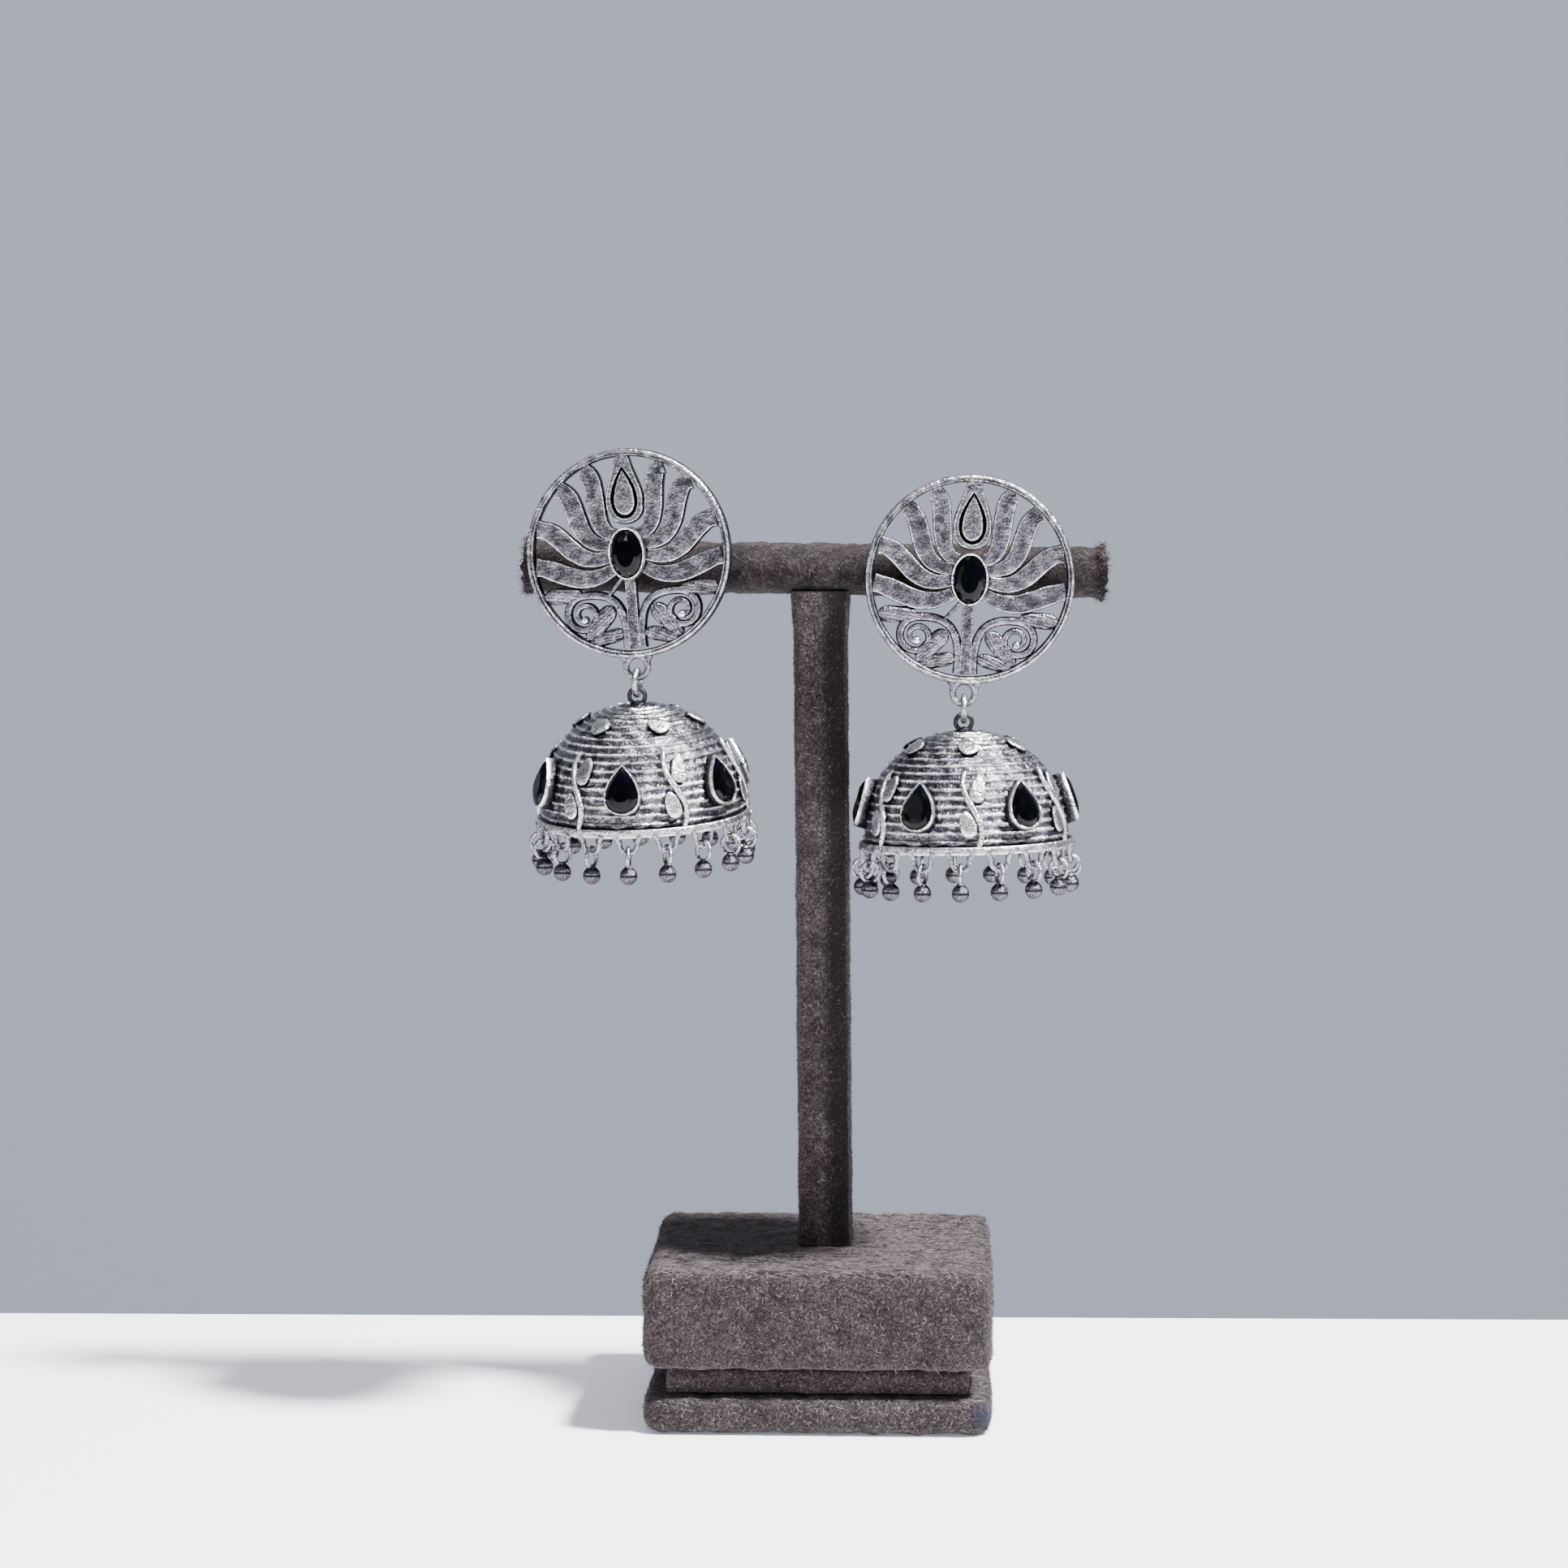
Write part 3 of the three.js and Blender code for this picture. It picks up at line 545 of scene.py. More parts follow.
def postPart(look):
    low, high = boxInMm("stand_post")
    heights = np.linspace(low[2], high[2], 130)
    share = (heights - low[2]) / (high[2] - low[2])
    middle = look["postShift"] + look["postLean"] * (1 - share)
    flare = look["postFlare"] * np.clip((heights - high[2]) / 9 + 1, 0, 1) ** 1.5
    foot = 0.5 * look["postFlare"] * np.clip(1 - (heights - low[2]) / 2.5, 0, 1)
    turns = fullTurn(96)
    power = 2 / look["postSquareness"]
    x = np.sign(np.sin(turns)) * np.abs(np.sin(turns)) ** power
    y = -np.sign(np.cos(turns)) * np.abs(np.cos(turns)) ** power
    width = (look["postWidth"] + flare + foot) / 2
    depth = (look["postDepth"] + foot) / 2
    rings = grid(middle[:, None] + width[:, None] * x, depth[:, None] * y, heights[:, None])
    lumps = 0.6 * ripple(rings, 6, 31) + 0.5 * ripple(rings, 1.7, 32)
    rings = rings + grid(np.sin(turns), -np.cos(turns), 0) * (0.11 * lumps - 0.1)[..., None]
    # The covering's overlapped seam runs down the front, right of the middle. Its gap and the front right of
    # it get painted shade.
    front = (y < -0.9)[None] & (x > -0.99)[None]
    wander = 0.25 * ripple(grid(heights, 0, 0), 14, 33)
    fromSeam = rings[..., 0] - middle[:, None] - look["seamAcross"] - wander[:, None]
    inGap = np.exp(-((fromSeam / (look["seamGap"] / 2)) ** 2)) * front
    rings[..., 1] += look["seamDepth"] * inGap
    rings[..., 1] -= look["seamStep"] * front * (fromSeam < 0)
    # Painted shade: darker in the seam's gap and on the front right of the seam
    wear = 0.5 + 0.05 * lumps - 0.5 * inGap - 0.28 * front * (fromSeam > 0)
    return surface(rings, wear)


def barPart(look):
    # The covering is cut ragged at both ends, round a dark core
    low, high = boxInMm("stand_bar")
    half = (high[0] - low[0]) / 2 - look["barRadius"] * math.sin(math.radians(look["barTilt"]))
    along = np.linspace(-half, half, 150)
    turns = fullTurn(64)
    lip = look["barLip"] * np.clip((np.abs(along) - half + look["lipWidth"]) * 4, 0, 1)
    radius = look["barRadius"] + lip - 0.12
    rings = grid(along[:, None], radius[:, None] * np.sin(turns), radius[:, None] * np.cos(turns))
    lumps = 0.6 * ripple(rings, 5, 41) + 0.6 * ripple(rings, 1.6, 42)
    rings = rings + grid(0, np.sin(turns), np.cos(turns)) * (0.17 * lumps - 0.1)[..., None]
    rings[[0, -1], :, 0] *= 1 - 0.012 * (1 + lumps[[0, -1]])
    caps = [rings[:1] * np.array([0.985, share, share]) for share in (0.0, 0.35, 0.7, 0.9)]
    tails = [rings[-1:] * np.array([0.985, share, share]) for share in (0.9, 0.7, 0.35, 0.0)]
    shade = np.concatenate([np.full((4, 64), -0.3), 0.08 * lumps, np.full((4, 64), -0.3)])
    part = surface(np.concatenate([*caps, rings, *tails]), 0.36 + shade, capped=False)
    tilt = Matrix.Translation((low + high) / 2) @ turning(look["barTilt"], "Y")
    return moved(part, tilt)


def makeStand(look):
    parts = {
        "foot": board("stand_foot", 3, 1.7, look, 11, look["lump"]),
        "neck": board("stand_neck", 1, 0.5, look, 13, look["lump"] / 2),
        "block": board("stand_block", 2.4, 2, look, 15, look["lump"]),
        "post": postPart(look),
        "bar": barPart(look),
    }
    for seed, (name, part) in enumerate(parts.items()):
        part["points"][:, 2] = np.maximum(part["points"][:, 2], 0)
        node = f"stand_{name}"
        cover = addPiece(f"{name}_cover", part, suedeMaterial, "stand", node, sharpAngle=60)
        strands = fibres(part, name, look, 50 + seed)
        addPiece(f"{name}_nap", strands, fibreMaterial, "stand", node, sharpAngle=180)
    print("stand made")


makeStand(standLook)


# Lotus discs. In a disc's own frame its back is the plane y = 0, it faces -y and z is up.

discLook = {
    "radius": 14.2,
    "rimWidth": 1.05,
    "rimThick": 1.5,
    "petalThick": 1.15,
    "scrollHalf": 0.046,  # half-widths are shares of the rim's inner radius
    "scrollTipHalf": 0.026,
    "scrollThick": 1.05,
    "scrollBall": 1.15,  # across
    "stemHalf": 0.06,
    "dent": 0.03,  # hammer marks
    "hatch": 0.022,  # engraved lines on the scrolls' leaves
    "hatchPitch": 0.45,
    "ovalWidth": 4.2,
    "ovalLength": 6.3,
    "ovalCrown": 0.65,
    "bezelWall": 0.5,
    "bezelHeight": 2.2,
    "bezelFloor": 1.1,
    "loopMean": 1.5,
    "loopWire": 0.45,
    "loopMiddle": 15.4,
    "earPostRadius": 0.42,
    "earPostLength": 11.9,
}
rimInner = discLook["radius"] - discLook["rimWidth"]

# Start, lead, bend, tip and half-width of the right side's petals
petals = [
    ((0.12, 0.2), (0.42, 0.22), (0.22, 0.85), (0.43, 0.885), 0.1),
    ((0.18, 0.1), (0.62, 0.09), (0.45, 0.63), (0.7, 0.71), 0.103),
    ((0.2, -0.02), (0.62, -0.14), (0.66, 0.3), (0.95, 0.31), 0.106),
    ((0.17, -0.15), (0.5, -0.36), (0.72, -0.12), (0.985, -0.08), 0.108),
]
# Start, tip and half-width
scrollLeaves = [
    ((0.53, -0.385), (0.93, -0.40), 0.09),
    ((0.5, -0.86), (0.21, -0.54), 0.097),
    ((0.47, -0.9), (0.115, -0.81), 0.078),
]
volute = {"x": 0.515, "z": -0.61, "outer": 0.2, "inner": 0.05, "turn": math.radians(540)}

# Sections across a strip: share of the half-width, share of the thickness, wear
petalSection = [
    (-1, 0, 0.0), (-1, 0.6, 0.05), (-0.96, 0.86, 0.12), (-0.88, 0.96, 0.88), (-0.78, 0.98, 0.48),
    (-0.4, 0.99, 0.44), (0, 1.0, 0.43), (0.4, 0.99, 0.44),
    (0.78, 0.98, 0.48), (0.88, 0.96, 0.88), (0.96, 0.86, 0.12), (1, 0.6, 0.05), (1, 0, 0.0),
]
wireSection = [
    (-1, 0, 0.0), (-1, 0.5, 0.03), (-0.9, 0.8, 0.06), (-0.6, 0.96, 0.6), (0, 1, 0.46), (0.6, 0.96, 0.6),
    (0.9, 0.8, 0.06), (1, 0.5, 0.03), (1, 0, 0.0),
]


def leafSection():
    rows = [(-1, 0, 0.0)]
    for share in np.linspace(-1, 1, 17):
        shade = 0.04 if abs(share) > 0.95 else 0.5 + 0.2 * (abs(share) > 0.8)
        rows.append((share, 1 - 0.45 * share ** 4, shade))
    return [*rows, (1, 0, 0.0)]


def runOf(line):
    # How far along a line each of its points is
    return np.concatenate([[0], np.cumsum(np.linalg.norm(np.diff(line, axis=0), axis=1))])


def strip(line, halves, section, thick, seed, hatch=0.0):
    # A strip of metal in the disc's plane. line is in shares of the rim's inner radius.
    line = np.asarray(line, float) * rimInner
    halves = np.asarray(halves, float) * rimInner
    along = unit(np.gradient(line, axis=0))
    across = np.column_stack([-along[:, 1], along[:, 0]])
    section = np.asarray(section)
    offsets = halves[:, None] * section[:, 0]
    plane = line[:, None] + across[:, None] * offsets[..., None]
    rings = grid(plane[..., 0], -thick * section[:, 1], plane[..., 1])
    dents = ripple(rings, 1.3, seed)
    lines = np.sin(2 * math.pi * (offsets / discLook["hatchPitch"] + 0.35 * runOf(line)[:, None]) + dents)
    rings[..., 1] += (discLook["dent"] * dents - hatch * lines) * (section[:, 1] > 0.6)
    return surface(rings, section[:, 2] + 0.06 * dents + 5 * hatch * lines)


def bothSides(line, halves, section, thick, seed, hatch=0.0):
    line = np.asarray(line, float)
    return [
        strip(line, halves, section, thick, seed, hatch),
        strip(line * np.array([-1, 1]), halves, section, thick, seed + 1, hatch),
    ]


def petalStrips():
    parts = []
    for number, (*curve, half) in enumerate(petals):
        line = bezier(*curve, 34)
        places, widths = [0, 0.22, 0.45, 0.78, 0.93, 1], [0.62, 0.85, 1, 1, 0.86, 0.95]
        share = np.interp(np.linspace(0, 1, 34), places, widths)
        thick = discLook["petalThick"] * (1.0 if number % 2 == 0 else 0.92)
        parts += bothSides(line, half * share, petalSection, thick, 60 + 2 * number)
    return parts


def scrollStrips():
    top = (volute["x"], volute["z"] + volute["outer"])
    arm = bezier((0.085, -0.975), (0.05, -0.5), (0.2, -0.39), top, 24)
    share = np.linspace(0, 1, 60)[1:]
    radius = volute["outer"] - (volute["outer"] - volute["inner"]) * share
    angle = math.pi / 2 - volute["turn"] * share
    coil = np.column_stack([volute["x"] + radius * np.cos(angle), volute["z"] + radius * np.sin(angle)])
    half, tipHalf, ball = discLook["scrollHalf"], discLook["scrollTipHalf"], discLook["scrollBall"]
    halves = np.concatenate([np.full(24, half), half - (half - tipHalf) * share])
    balls = []
    for way in (-1, 1):
        end = shift(way * coil[-1][0] * rimInner, 0, coil[-1][1] * rimInner) @ turning(90, "X")
        levels = [(1, 0, 0.0), (1, 0.7, 0.3), (0.85, 1.02, 0.8), (0.5, 1.18, 0.95), (0.1, 1.2, 0.8)]
        balls.append(mound(ellipseOutline(ball, ball, 20), levels, end))
    return bothSides(np.concatenate([arm, coil]), halves, wireSection, discLook["scrollThick"], 80) + balls


def leafStrips():
    parts = []
    for number, (start, tip, half) in enumerate(scrollLeaves):
        t = np.linspace(0, 1, 46)[:, None]
        line = np.array(start) * (1 - t) + np.array(tip) * t
        swell = np.sqrt(np.clip(1 - (1.98 * t[:, 0] - 0.98) ** 4, 0, 1)) * (0.86 + 0.14 * t[:, 0])
        parts += bothSides(line, half * swell, leafSection(), 1.1, 90 + 2 * number, discLook["hatch"])
    return parts


def pearOutline(width, length, count, turnBy=0.0):
    turn = fullTurn(count) + turnBy
    return np.column_stack([-width / 2 / 0.77 * np.sin(turn) * np.sin(turn / 2), length / 2 * np.cos(turn)])


def ellipseOutline(width, length, count, turnBy=0.0):
    turn = fullTurn(count) + turnBy
    return np.column_stack([-width / 2 * np.sin(turn), length / 2 * np.cos(turn)])


def grown(outline, by):
    middle = outline.mean(axis=0)
    out = outline - middle
    size = np.linalg.norm(out, axis=1, keepdims=True)
    return middle + out * (size + by) / size


def middlePetal():
    # A drop-shaped petal with a black groove round a smaller drop
    width = 0.4 * rimInner
    low, waist, shoulder, neck, high = [share * rimInner for share in (0.3, 0.5, 0.68, 0.84, 1.02)]
    lower = bezier((0, low), (0.22 * width, low), (width / 2, 0.36 * rimInner), (width / 2, waist), 30)
    upper = bezier((width / 2, waist), (0.56 * width, shoulder), (1.2, neck), (1.0, high), 30)
    side = np.concatenate([lower, upper[1:]])
    outline = np.concatenate([side, (side * np.array([-1, 1]))[::-1][:-1]])
    centre = np.array([0, 0.58 * rimInner])
    turns = np.linspace(-math.pi, math.pi, 96, endpoint=False)

    # The same outline with its points at even angles round the petal's middle
    def polar(points):
        out = points - centre
        angle = np.arctan2(out[:, 0], out[:, 1])
        order = np.argsort(angle)
        reach = np.interp(turns, angle[order], np.linalg.norm(out, axis=1)[order], period=2 * math.pi)
        return centre + np.column_stack([np.sin(turns), np.cos(turns)]) * reach[:, None]

    body = polar(outline)
    drop = polar(pearOutline(0.235 * rimInner, 0.49 * rimInner, 120) + np.array([0, 0.63 * rimInner]))
    levels = [
        (body, 0.0, 0.0), (body, 0.7, 0.2), (grown(body, -0.1), 1.02, 0.6),
        (grown(body, -0.2), 1.12, 0.88), (grown(body, -0.34), 1.12, 0.5),
        (body * 0.5 + drop * 0.5, 1.1, 0.45), (grown(drop, 0.5), 1.12, 0.5),
        (grown(drop, 0.38), 1.1, 0.85), (grown(drop, 0.28), 0.55, 0.0),
        (grown(drop, -0.05), 0.5, 0.0), (grown(drop, -0.15), 1.0, 0.6),
        (grown(drop, -0.26), 1.1, 0.85), (grown(drop, -0.42), 1.12, 0.5),
        (centre + (drop - centre) * 0.3, 1.14, 0.45),
    ]
    return moved(loft(levels), turning(90, "X"))


def discRim():
    # Section through the rim: radius, depth, wear
    inner, outer, thick = rimInner, discLook["radius"], discLook["rimThick"]
    section = np.array([
        (inner, 0, 0.0), (inner, thick * 0.6, 0.05),
        (inner + 0.1, thick * 0.86, 0.4), (inner + 0.26, thick * 0.98, 0.68),
        (inner + 0.44, thick * 0.93, 0.36), (inner + 0.62, thick, 0.5),
        (outer - 0.2, thick * 0.96, 0.76), (outer - 0.06, thick * 0.84, 0.55),
        (outer, thick * 0.55, 0.2), (outer, 0.05, 0.2), (outer - 0.1, 0, 0.1),
    ])
    turns = fullTurn(200)[:, None]
    rings = grid(np.sin(turns) * section[:, 0], -section[:, 1], np.cos(turns) * section[:, 0])
    dents = ripple(rings, 1.6, 101)
    rings[..., 1] += 0.035 * dents * (section[:, 1] > 0)
    wear = section[:, 2] + 0.08 * dents + 0.07 * ripple(rings, 9, 102)
    return surface(np.concatenate([rings, rings[:1]]), np.concatenate([wear, wear[:1]]), capped=False)


def ovalBezel():
    oval = ellipseOutline(discLook["ovalWidth"], discLook["ovalLength"], 64)
    wall, height, floor = discLook["bezelWall"], discLook["bezelHeight"], discLook["bezelFloor"]
    levels = [
        (wall, 0, 0.0), (wall, height * 0.6, 0.25), (wall - 0.03, height * 0.86, 0.8),
        (wall - 0.14, height, 1.0), (wall - 0.3, height, 1.0), (0.08, height - 0.1, 0.7),
        (0.03, height - 0.3, 0.1), (0.02, floor, 0.0), (-0.8, floor, 0.0),
    ]
    return moved(loft([(grown(oval, by), depth, shade) for by, depth, shade in levels]), turning(90, "X"))


def earPost():
    radius, length = discLook["earPostRadius"], discLook["earPostLength"]
    # The groove near the end is for a nut
    profile = [
        (0, 0), (radius, 0), (radius, length - 1.2), (radius * 0.8, length - 1.0),
        (radius, length - 0.8), (radius, length - 0.3), (radius * 0.6, length - 0.04), (0, length),
    ]
    part = lathe(profile, 20, [0.4, 0.4, 0.75, 0.2, 0.8, 0.85, 0.9, 0.9])
    return moved(part, turning(-90, "X"))


def lotusDisc():
    stemLine = np.linspace((0, -0.2), (0, -0.98), 14)
    sprigLine = np.linspace((-0.08, -0.24), (-0.235, -0.42), 8)
    mean, wire, middle = discLook["loopMean"], discLook["loopWire"], discLook["loopMiddle"]
    loop = [ring(mean, wire, 48, 14, 0.6)]
    for way in (-1, 1):
        leg = [(way * (mean + reach), 0, rise) for reach, rise in ((0.3, 1.5), (0.02, 0.8), (0, 0))]
        loop.append(tube(leg, [wire * 1.3, wire, wire], np.tile(forwards, (3, 1)), 12, 0.5))
    loop = moved(joinParts(loop), shift(0, -discLook["rimThick"] / 2, -middle))
    return joinParts([
        *petalStrips(),
        *scrollStrips(),
        *leafStrips(),
        strip(stemLine, np.full(len(stemLine), discLook["stemHalf"]), petalSection, 1.15, 120),
        strip(sprigLine, np.full(len(sprigLine), 0.02), wireSection, 1.0, 121),
        middlePetal(),
        discRim(),
        ovalBezel(),
        loop,
        earPost(),
    ])


def cutStone(outlineOf, width, length, girdle, crown, turnBy=0.0):
    # Flat back, girdle, two rows of crown facets that break joint, and a table. Its facets stay flat.
    count = 16
    sizes = [(0, 0.8), (0, 1), (0, 1), (math.pi / count, 0.82), (0, 0.58)]
    rows = [outlineOf(width, length, count, turned + turnBy) * share for turned, share in sizes]
    heights = [0, girdle * 0.5, girdle, girdle + crown * 0.6, girdle + crown]
    points = np.concatenate([np.column_stack([row, np.full(count, z)]) for row, z in zip(rows, heights)])
    faces = [list(range(count))[::-1], list(range(4 * count, 5 * count))]
    for row in range(4):
        for i in range(count):
            a, b = row * count + i, row * count + (i + 1) % count
            c, d = a + count, b + count
            if row < 2:
                faces.append([a, b, d, c])
            elif row == 2:
                faces += [[a, b, c], [b, d, c]]
            else:
                faces += [[a, b, d], [a, d, c]]
    return {"points": points, "faces": faces, "wear": np.full(len(points), 0.5)}


def ovalStone():
    gap = 0.12  # over the bezel's floor
    girdle = discLook["bezelHeight"] - discLook["bezelFloor"] - gap
    width, length = discLook["ovalWidth"], discLook["ovalLength"]
    stone = cutStone(ellipseOutline, width, length, girdle, discLook["ovalCrown"])
    return moved(stone, shift(0, -discLook["bezelFloor"] - gap, 0) @ turning(90, "X"))


# How each earring hangs, in millimetres and degrees, as the CAD frame has it
hangings = [
    {"side": "left", "x": -25.9, "rise": 2.3, "standOff": 2.9, "turn": -9.6, "lean": -4.3,
     "yaw": -6.5, "roll": -2.4, "nod": 5},
    {"side": "right", "x": 20.2, "rise": -1.2, "standOff": 1.9, "turn": 0, "lean": 2.8,
     "yaw": -27, "roll": -1.5, "nod": -1},
]


def discPlace(hanging):
    low, high = boxInMm("stand_bar")
    middle = (low + high) / 2
    y = middle[1] - standLook["barRadius"] - hanging["standOff"]
    at = shift(hanging["x"], y, middle[2] + hanging["rise"])
    return at @ turning(hanging["turn"], "Z") @ turning(hanging["lean"], "Y")


def addSilver(name, part, body, node, place=None):
    return addPiece(name, part, silverMaterial, body, node, place)


def addStone(name, part, body, node, place=None):
    return addPiece(name, part, stoneMaterial, body, node, place, 5)


for hanging in hangings:
    side = hanging["side"]
    addSilver(f"{side}_disc", moved(lotusDisc(), discPlace(hanging)), "stand", f"{side}_lotus_disc")
    addStone(f"{side}_oval", moved(ovalStone(), discPlace(hanging)), "stand", f"{side}_oval_stone")
print("discs made")


# Domes. In a dome's own frame it hangs from the origin and azimuth 0 faces -y.

domeLook = {
    "radius": 14.1,
    "height": 15.9,
    "fullness": 2.25,  # 2 would be an ellipse
    "wall": 0.8,
    "top": -1.32,
    "bandHeight": 1.15,
    "bandLip": 0.5,
    "ribPitch": 1.2,
    "ribHeight": 0.27,
    "ribDepth": 0.22,  # the valleys lie this far under the wall
    "crestShare": 0.14,
    "sides": 150,
    "motifs": 6,
    "pearWidth": 4.25,
    "pearLength": 6.1,
    "pearRise": 6.3,
    "pearTurn": 1e-4,  # keeps the tip's two sides apart
    "pearGirdle": 0.78,
    "pearCrown": 0.55,
    "settingWall": 0.42,
    "settingHeight": 1.15,
    "vineTop": 10.9,
    "vineFoot": 0.9,
    "vineWire": 0.43,
    "topLeafHeight": 13.9,
    "drops": 17,
    "dropPhase": 2,
    "capRadius": 2.3,
    "capNeck": 0.75,
    "eyeMean": 1.1,
    "eyeWire": 0.32,
    "loopMean": 1.18,
    "loopWire": 0.36,
    "loopDrop": 0.85,
    "loopRoot": 0.4,
}
domeFoot = domeLook["top"] - domeLook["height"]


def wallRadius(height, inset=0.0):
    share = np.clip(np.asarray(height, float) / (domeLook["height"] - inset), 0, 1)
    return (domeLook["radius"] - inset) * (1 - share ** domeLook["fullness"]) ** (1 / domeLook["fullness"])


def wallFrame(azimuth, height, lateral=0.0):
    # A frame on the wall: x along it, y up it, z out of it
    step = 0.05
    radius = float(wallRadius(height))
    turn = azimuth + lateral / radius
    fall = float(wallRadius(height - step) - wallRadius(height + step)) / (2 * step)
    out = Vector((math.sin(turn), -math.cos(turn), 0))
    normal = (out + Vector((0, 0, fall))).normalized()
    side = Vector((math.cos(turn), math.sin(turn), 0))
    up = normal.cross(side)
    matrix = Matrix((side, up, normal)).transposed().to_4x4()
    matrix.translation = out * radius + Vector((0, 0, domeFoot + height))
    return matrix


def domeShell():
    # The outside follows a superellipse with ribs wound round it, equally spaced along the wall
    turn = np.linspace(0, math.pi / 2, 900)
    power = 2 / domeLook["fullness"]
    reach = domeLook["radius"] * np.sin(turn) ** power
    height = domeFoot + domeLook["height"] * np.cos(turn) ** power
    run = runOf(np.column_stack([reach, height]))
    start = np.interp(domeLook["capRadius"], reach, run)
    end = np.interp(-(domeFoot + domeLook["bandHeight"]), -height, run)
    count = round((end - start) / domeLook["ribPitch"])
    stops = np.linspace(start, end, count * 8 + 1)
    line = np.column_stack([np.interp(stops, run, reach), np.interp(stops, run, height)])
    slope = unit(np.gradient(line, axis=0))
    normal = np.column_stack([-slope[:, 1], slope[:, 0]])
    phase = (np.arange(len(stops)) % 8) / 8
    crest = np.exp(-(((phase - 0.5) / domeLook["crestShare"]) ** 2))[:, None]
    sides = domeLook["sides"]
    x, y = np.sin(fullTurn(sides)), -np.cos(fullTurn(sides))
    base = grid(line[:, :1] * x, line[:, :1] * y, line[:, 1:])
    rough, fine = ripple(base, 2.2, 201), ripple(base, 0.8, 202)
    rise = domeLook["ribHeight"] * crest * (1 + 0.3 * rough) - domeLook["ribDepth"]
    rise = rise + 0.035 * fine + 0.03 * rough
    rings = base + grid(rise * normal[:, :1] * x, rise * normal[:, :1] * y, rise * normal[:, 1:])
    # The wall is made darker towards the band at the bottom
    fall = np.clip((domeFoot + 3.2 - base[..., 2]) / 2.5, 0, 1)
    wear = 0.45 + 0.47 * crest - 0.06 * fall + 0.08 * rough + 0.08 * fine
    return joinParts([domeCap(sides), surface(rings, wear, capped=False), domeBand(sides)])


def domeCap(sides):
    neck, wide, top = domeLook["capNeck"], domeLook["capRadius"], domeLook["top"]
    profile = [
        (0.0, top + 0.55), (neck * 0.6, top + 0.45), (neck + 0.2, top + 0.2), (neck + 0.6, top - 0.02),
        (wide - 0.5, top - 0.2), (wide - 0.15, top - 0.38), (wide + 0.05, top - 0.5),
    ]
    return lathe(profile, sides, [0.2, 0.3, 0.35, 0.3, 0.45, 0.65, 0.35])


def domeBand(sides):
    radius, inset = domeLook["radius"], domeLook["wall"]
    lip = radius + domeLook["bandLip"]
    high = domeFoot + domeLook["bandHeight"]
    # Radius, height, wear
    rows = [
        (radius - 0.25, high + 0.25, 0.05), (radius - 0.1, high + 0.02, 0.05), (lip - 0.22, high, 0.5),
        (lip - 0.06, high - 0.12, 0.9), (lip, high - 0.35, 0.7), (lip, high - 0.75, 0.6),
        (lip - 0.06, domeFoot + 0.12, 0.85), (lip - 0.2, domeFoot, 0.6),
        (radius - inset + 0.1, domeFoot, 0.3),
    ]
    for share in np.sin(np.linspace(0, 1, 26) * math.pi / 2):
        height = share * (domeLook["height"] - inset)
        rows.append((float(wallRadius(height, inset)), domeFoot + height, 0.16))
    rows = np.array(rows)
    return lathe(rows[:, :2], sides, rows[:, 2])


def leafOutline(width, length, count=28):
    # A pointed oval, fuller on its lower half
    turn = fullTurn(count)
    across = -width / 2 * np.sin(turn) * (1 - 0.22 * np.cos(turn))
    return np.column_stack([across, length / 2 * np.sign(np.cos(turn)) * np.abs(np.cos(turn)) ** 0.8])


# Share of the outline, height, wear
leafLevels = [
    (1, -0.45, 0.0), (1, 0.1, 0.1), (0.97, 0.3, 0.7),
    (0.88, 0.4, 0.9), (0.55, 0.44, 0.68), (0.15, 0.46, 0.66),
]
vineLeaves = [
    {"height": 8.6, "lateral": 0.95, "width": 2.15, "length": 4.0, "tilt": -10},
    {"height": 4.1, "lateral": -0.6, "width": 2.15, "length": 3.7, "tilt": 14},
]


def vine(azimuth):
    # A wire laid in an S, with a leaf at the upper right and one at the lower left
    shares = np.linspace(0, 1, 30)
    sway = np.interp(shares, [0, 0.08, 0.26, 0.45, 0.65, 0.8, 1], [-0.4, -1.15, -0.95, 0.0, 1.1, 1.3, 0.75])
    sway = np.convolve(np.pad(sway, 2, mode="edge"), np.ones(5) / 5, mode="valid")
    heights = domeLook["vineTop"] + (domeLook["vineFoot"] - domeLook["vineTop"]) * shares
    frames = [wallFrame(azimuth, height, lateral) for height, lateral in zip(heights, sway)]
    path = np.array([matrix @ Vector((0, 0, 0.2)) for matrix in frames])
    ups = np.array([matrix.col[2][:3] for matrix in frames])
    radius = domeLook["vineWire"] * np.interp(shares, [0, 0.06, 0.5, 0.94, 1], [0.55, 0.85, 1.05, 0.9, 0.5])
    wire = tube(path, radius, ups, wear=0.8)
    leaves = []
    for leaf in vineLeaves:
        place = wallFrame(azimuth, leaf["height"], leaf["lateral"]) @ turning(leaf["tilt"], "Z")
        leaves.append(mound(leafOutline(leaf["width"], leaf["length"]), leafLevels, place))
    return [wire, *leaves]


def topLeaf(azimuth):
    place = wallFrame(azimuth, domeLook["topLeafHeight"]) @ turning(40, "Z")
    return mound(leafOutline(2.8, 3.2), leafLevels, place)


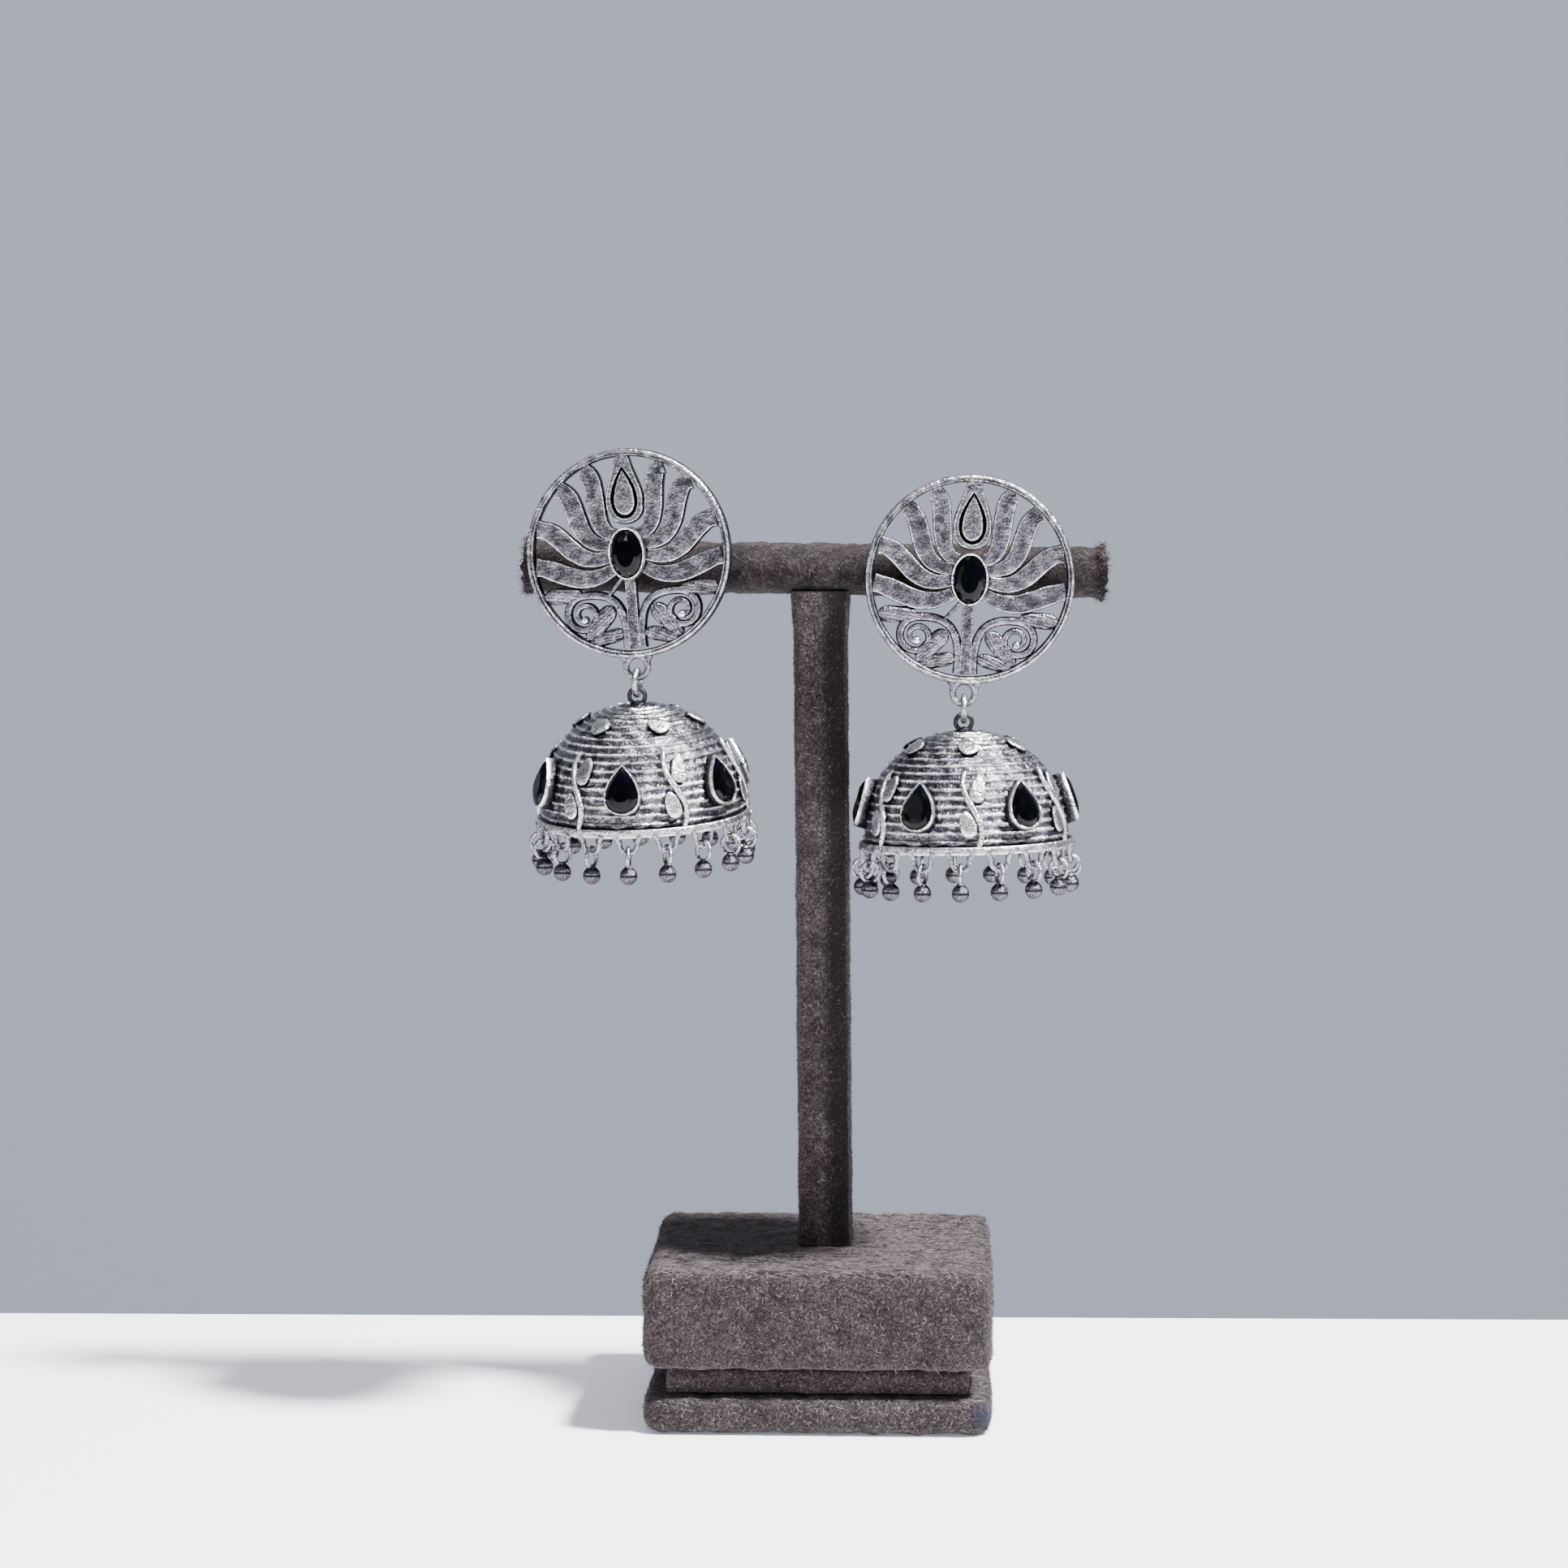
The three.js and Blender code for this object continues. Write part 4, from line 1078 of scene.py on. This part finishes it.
def setting(index):
    # A raised pear-shaped wall, sunk into the dome
    pear = pearOutline(domeLook["pearWidth"], domeLook["pearLength"], 48, domeLook["pearTurn"])
    wall, high = domeLook["settingWall"], domeLook["settingHeight"]
    levels = [
        (wall, -0.5, 0.0), (wall, high * 0.5, 0.35), (wall - 0.02, high * 0.82, 0.9),
        (wall - 0.12, high, 1.0), (wall - 0.26, high, 1.0), (0.05, high - 0.1, 0.6),
        (0.02, high - 0.3, 0.05), (0, 0.25, 0), (-0.7, 0.25, 0),
    ]
    part = loft([(grown(pear, by), height, shade) for by, height, shade in levels])
    return moved(part, settingFrame(index))


def settingFrame(index):
    return wallFrame(2 * math.pi * index / domeLook["motifs"], domeLook["pearRise"])


def pearStone():
    sizes = [domeLook[f"pear{part}"] for part in ("Width", "Length", "Girdle", "Crown", "Turn")]
    return moved(cutStone(pearOutline, *sizes), shift(0, 0, 0.37))


def rimLoop(index):
    # A flattened wire bent into a U, its ends flared where they are soldered under the band
    mean, half, drop, root = (domeLook[f"loop{part}"] for part in ("Mean", "Wire", "Drop", "Root"))
    turns = np.linspace(math.pi / 2, -math.pi / 2, 17)
    bend = np.column_stack([mean * np.sin(turns), -mean * np.cos(turns)])
    leg = np.array([(mean + 0.5, drop + root), (mean + 0.12, drop * 0.8)])
    path = np.concatenate([leg, bend, (leg * np.array([-1, 1]))[::-1]])
    path = grid(path[:, 0], 0, path[:, 1])
    radius = np.full(len(path), half)
    radius[[0, 1, -2, -1]] = half * np.array([1.6, 1.15, 1.15, 1.6])
    part = tube(path, radius, np.tile(forwards, (len(path), 1)), 10, 0.58, 0.9)
    azimuth = math.radians(domeLook["dropPhase"]) + 2 * math.pi * index / domeLook["drops"]
    circle = domeLook["radius"] + domeLook["bandLip"] - 0.4
    place = Matrix.Rotation(azimuth, 4, "Z") @ shift(0, -circle, domeFoot - drop)
    return moved(part, place)


def domePart(eyeTurn):
    parts = [domeShell()]
    for index in range(domeLook["motifs"]):
        between = 2 * math.pi * (index + 0.5) / domeLook["motifs"]
        parts += [setting(index), *vine(between), topLeaf(between)]
    parts += [rimLoop(index) for index in range(domeLook["drops"])]
    eye = ring(domeLook["eyeMean"], domeLook["eyeWire"], 32, 12, 0.35)
    return joinParts([*parts, moved(eye, turning(eyeTurn, "Z") @ shift(0, 0, -0.22))])


linkLook = {
    "jumpMean": 1.65,
    "jumpWire": 0.44,
    "jumpReach": 0.49,  # from the middle of the disc's loop to the jump ring's top
    "dropMean": 1.32,
    "dropWire": 0.27,
    "bead": 1.2,
    "beadMiddle": 3.75,  # under the drop's top
}


def beadDrop(look):
    # A wire link with a bead soldered to its foot, with a dark line round its middle
    place = turning(90, "Z") @ shift(0, 0, -look["dropMean"])
    link = moved(ring(look["dropMean"], look["dropWire"], 28, 10, 0.62), place)
    turns = np.linspace(0, math.pi, 19)
    profile = look["bead"] * np.column_stack([np.sin(turns), np.cos(turns)])
    profile[9, 0] -= 0.03
    stops = [0, 0.5, 1.0, 1.45, 1.57, 1.7, 2.4, math.pi]
    shade = np.interp(turns, stops, [0.1, 0.25, 0.42, 0.55, 0.15, 0.45, 0.4, 0.3])
    bead = moved(lathe(profile, 26, shade), shift(0, 0, -look["beadMiddle"]))
    collar = lathe([(0.3, 0.35), (0.45, 0.2), (0.62, 0.0), (0.5, -0.2)], 18, [0.3, 0.5, 0.4, 0.1])
    return joinParts([link, bead, moved(collar, shift(0, 0, -2.68))])


def jumpRingMiddle(hanging):
    loop = discPlace(hanging) @ Vector((0, -discLook["rimThick"] / 2, -discLook["loopMiddle"]))
    return loop - Vector((0, 0, linkLook["jumpReach"] + linkLook["jumpMean"]))


def dropPlace(node, pivot):
    # A drop hangs plumb, with its link's plane through the dome's axis
    low, high = boxInMm(node)
    middle = (low + high) / 2
    azimuth = math.atan2(middle[0] - pivot[0], pivot[1] - middle[1])
    top = shift(middle[0], middle[1], high[2] - linkLook["dropWire"])
    return top @ Matrix.Rotation(azimuth, 4, "Z")


# The stones share one mesh and so do the drops
pearMesh = None
dropMesh = None
for hanging in hangings:
    side = hanging["side"]
    ringCentre = jumpRingMiddle(hanging)
    turned = Matrix.Translation(ringCentre) @ turning(hanging["turn"] + 90, "Z")
    link = moved(ring(linkLook["jumpMean"], linkLook["jumpWire"], 56, 16, 0.72), turned)
    addSilver(f"{side}_link", link, f"{side}_ring", f"{side}_jump_ring")
    pivot = ringCentre - Vector((0, 0, linkLook["jumpMean"]))
    tilted = Matrix.Translation(pivot) @ turning(hanging["nod"], "X") @ turning(hanging["roll"], "Y")
    tilted = tilted @ turning(hanging["yaw"], "Z")
    shell = moved(domePart(hanging["turn"] - hanging["yaw"]), tilted)
    addSilver(f"{side}_bell_dome", shell, f"{side}_bell", f"{side}_dome")
    for index in range(domeLook["motifs"]):
        name, node = f"{side}_pear_{index + 1}", f"{side}_pear_stone_{index + 1}"
        place = inMetres(tilted @ settingFrame(index))
        pearMesh = addStone(name, pearMesh or pearStone(), f"{side}_bell", node, place).data
    for index in range(domeLook["drops"]):
        name, node = f"{side}_bead_{index + 1:02d}", f"{side}_drop_{index + 1:02d}"
        place = inMetres(dropPlace(node, pivot))
        dropMesh = addSilver(name, dropMesh or beadDrop(linkLook), f"{side}_bell", node, place).data
print("domes and drops made")


# Table, backdrop and studio lights

def addSlab(name, low, high, color, glow, turn=0.0):
    shape = cube(low, high)
    mesh = bpy.data.meshes.new(name)
    shape.to_mesh(mesh)
    shape.free()
    fixed = {"Base Color": (*color, 1), "Roughness": 0.9}
    fixed.update({"Emission Color": (*glow, 1), "Emission Strength": 1.0})
    material, _ = newMaterial(name, fixed)
    mesh.materials.append(material)
    slab = addObject(name, mesh)
    slab.rotation_euler = (0, 0, math.radians(turn))


def addLight(name, place, aim, size, watts, color=(1, 1, 1)):
    lamp = bpy.data.lights.new(name, "AREA")
    lamp.shape = "RECTANGLE"
    lamp.size, lamp.size_y = size
    lamp.energy = watts
    lamp.color = color
    holder = addObject(name, lamp)
    holder.location = place
    holder.rotation_euler = (Vector(aim) - Vector(place)).to_track_quat("-Z", "Y").to_euler()


addSlab("table", (-1.5, -1.6, -0.02), (1.5, 0.052, 0), (0.95, 0.955, 0.98), (0.17, 0.18, 0.21), 0.9)
addSlab("backdrop", (-4, 1.9, -1.5), (4, 1.95, 3), (0.1, 0.1, 0.1), (0.375, 0.408, 0.53))
addLight("key", (0.6, -0.2, 1.15), (0, 0, 0.06), (0.14, 0.14), 90, (1, 0.99, 0.975))
addLight("top", (-0.1, 0.1, 1.5), (0, 0, 0), (1.1, 1.1), 9, (0.95, 0.97, 1))
addLight("fill", (-0.8, -0.8, 0.45), (0, 0, 0.09), (0.5, 0.9), 1.5, (0.93, 0.96, 1))
addLight("front", (-0.3, -1.1, 0.75), (0, 0, 0.08), (0.16, 0.3), 2.4)
world = bpy.data.worlds.new("studio")
world.use_nodes = True
world.node_tree.nodes["Background"].inputs["Color"].default_value = (0.62, 0.66, 0.75, 1)
world.node_tree.nodes["Background"].inputs["Strength"].default_value = 0.2
bpy.context.scene.world = world
print("stage ready")
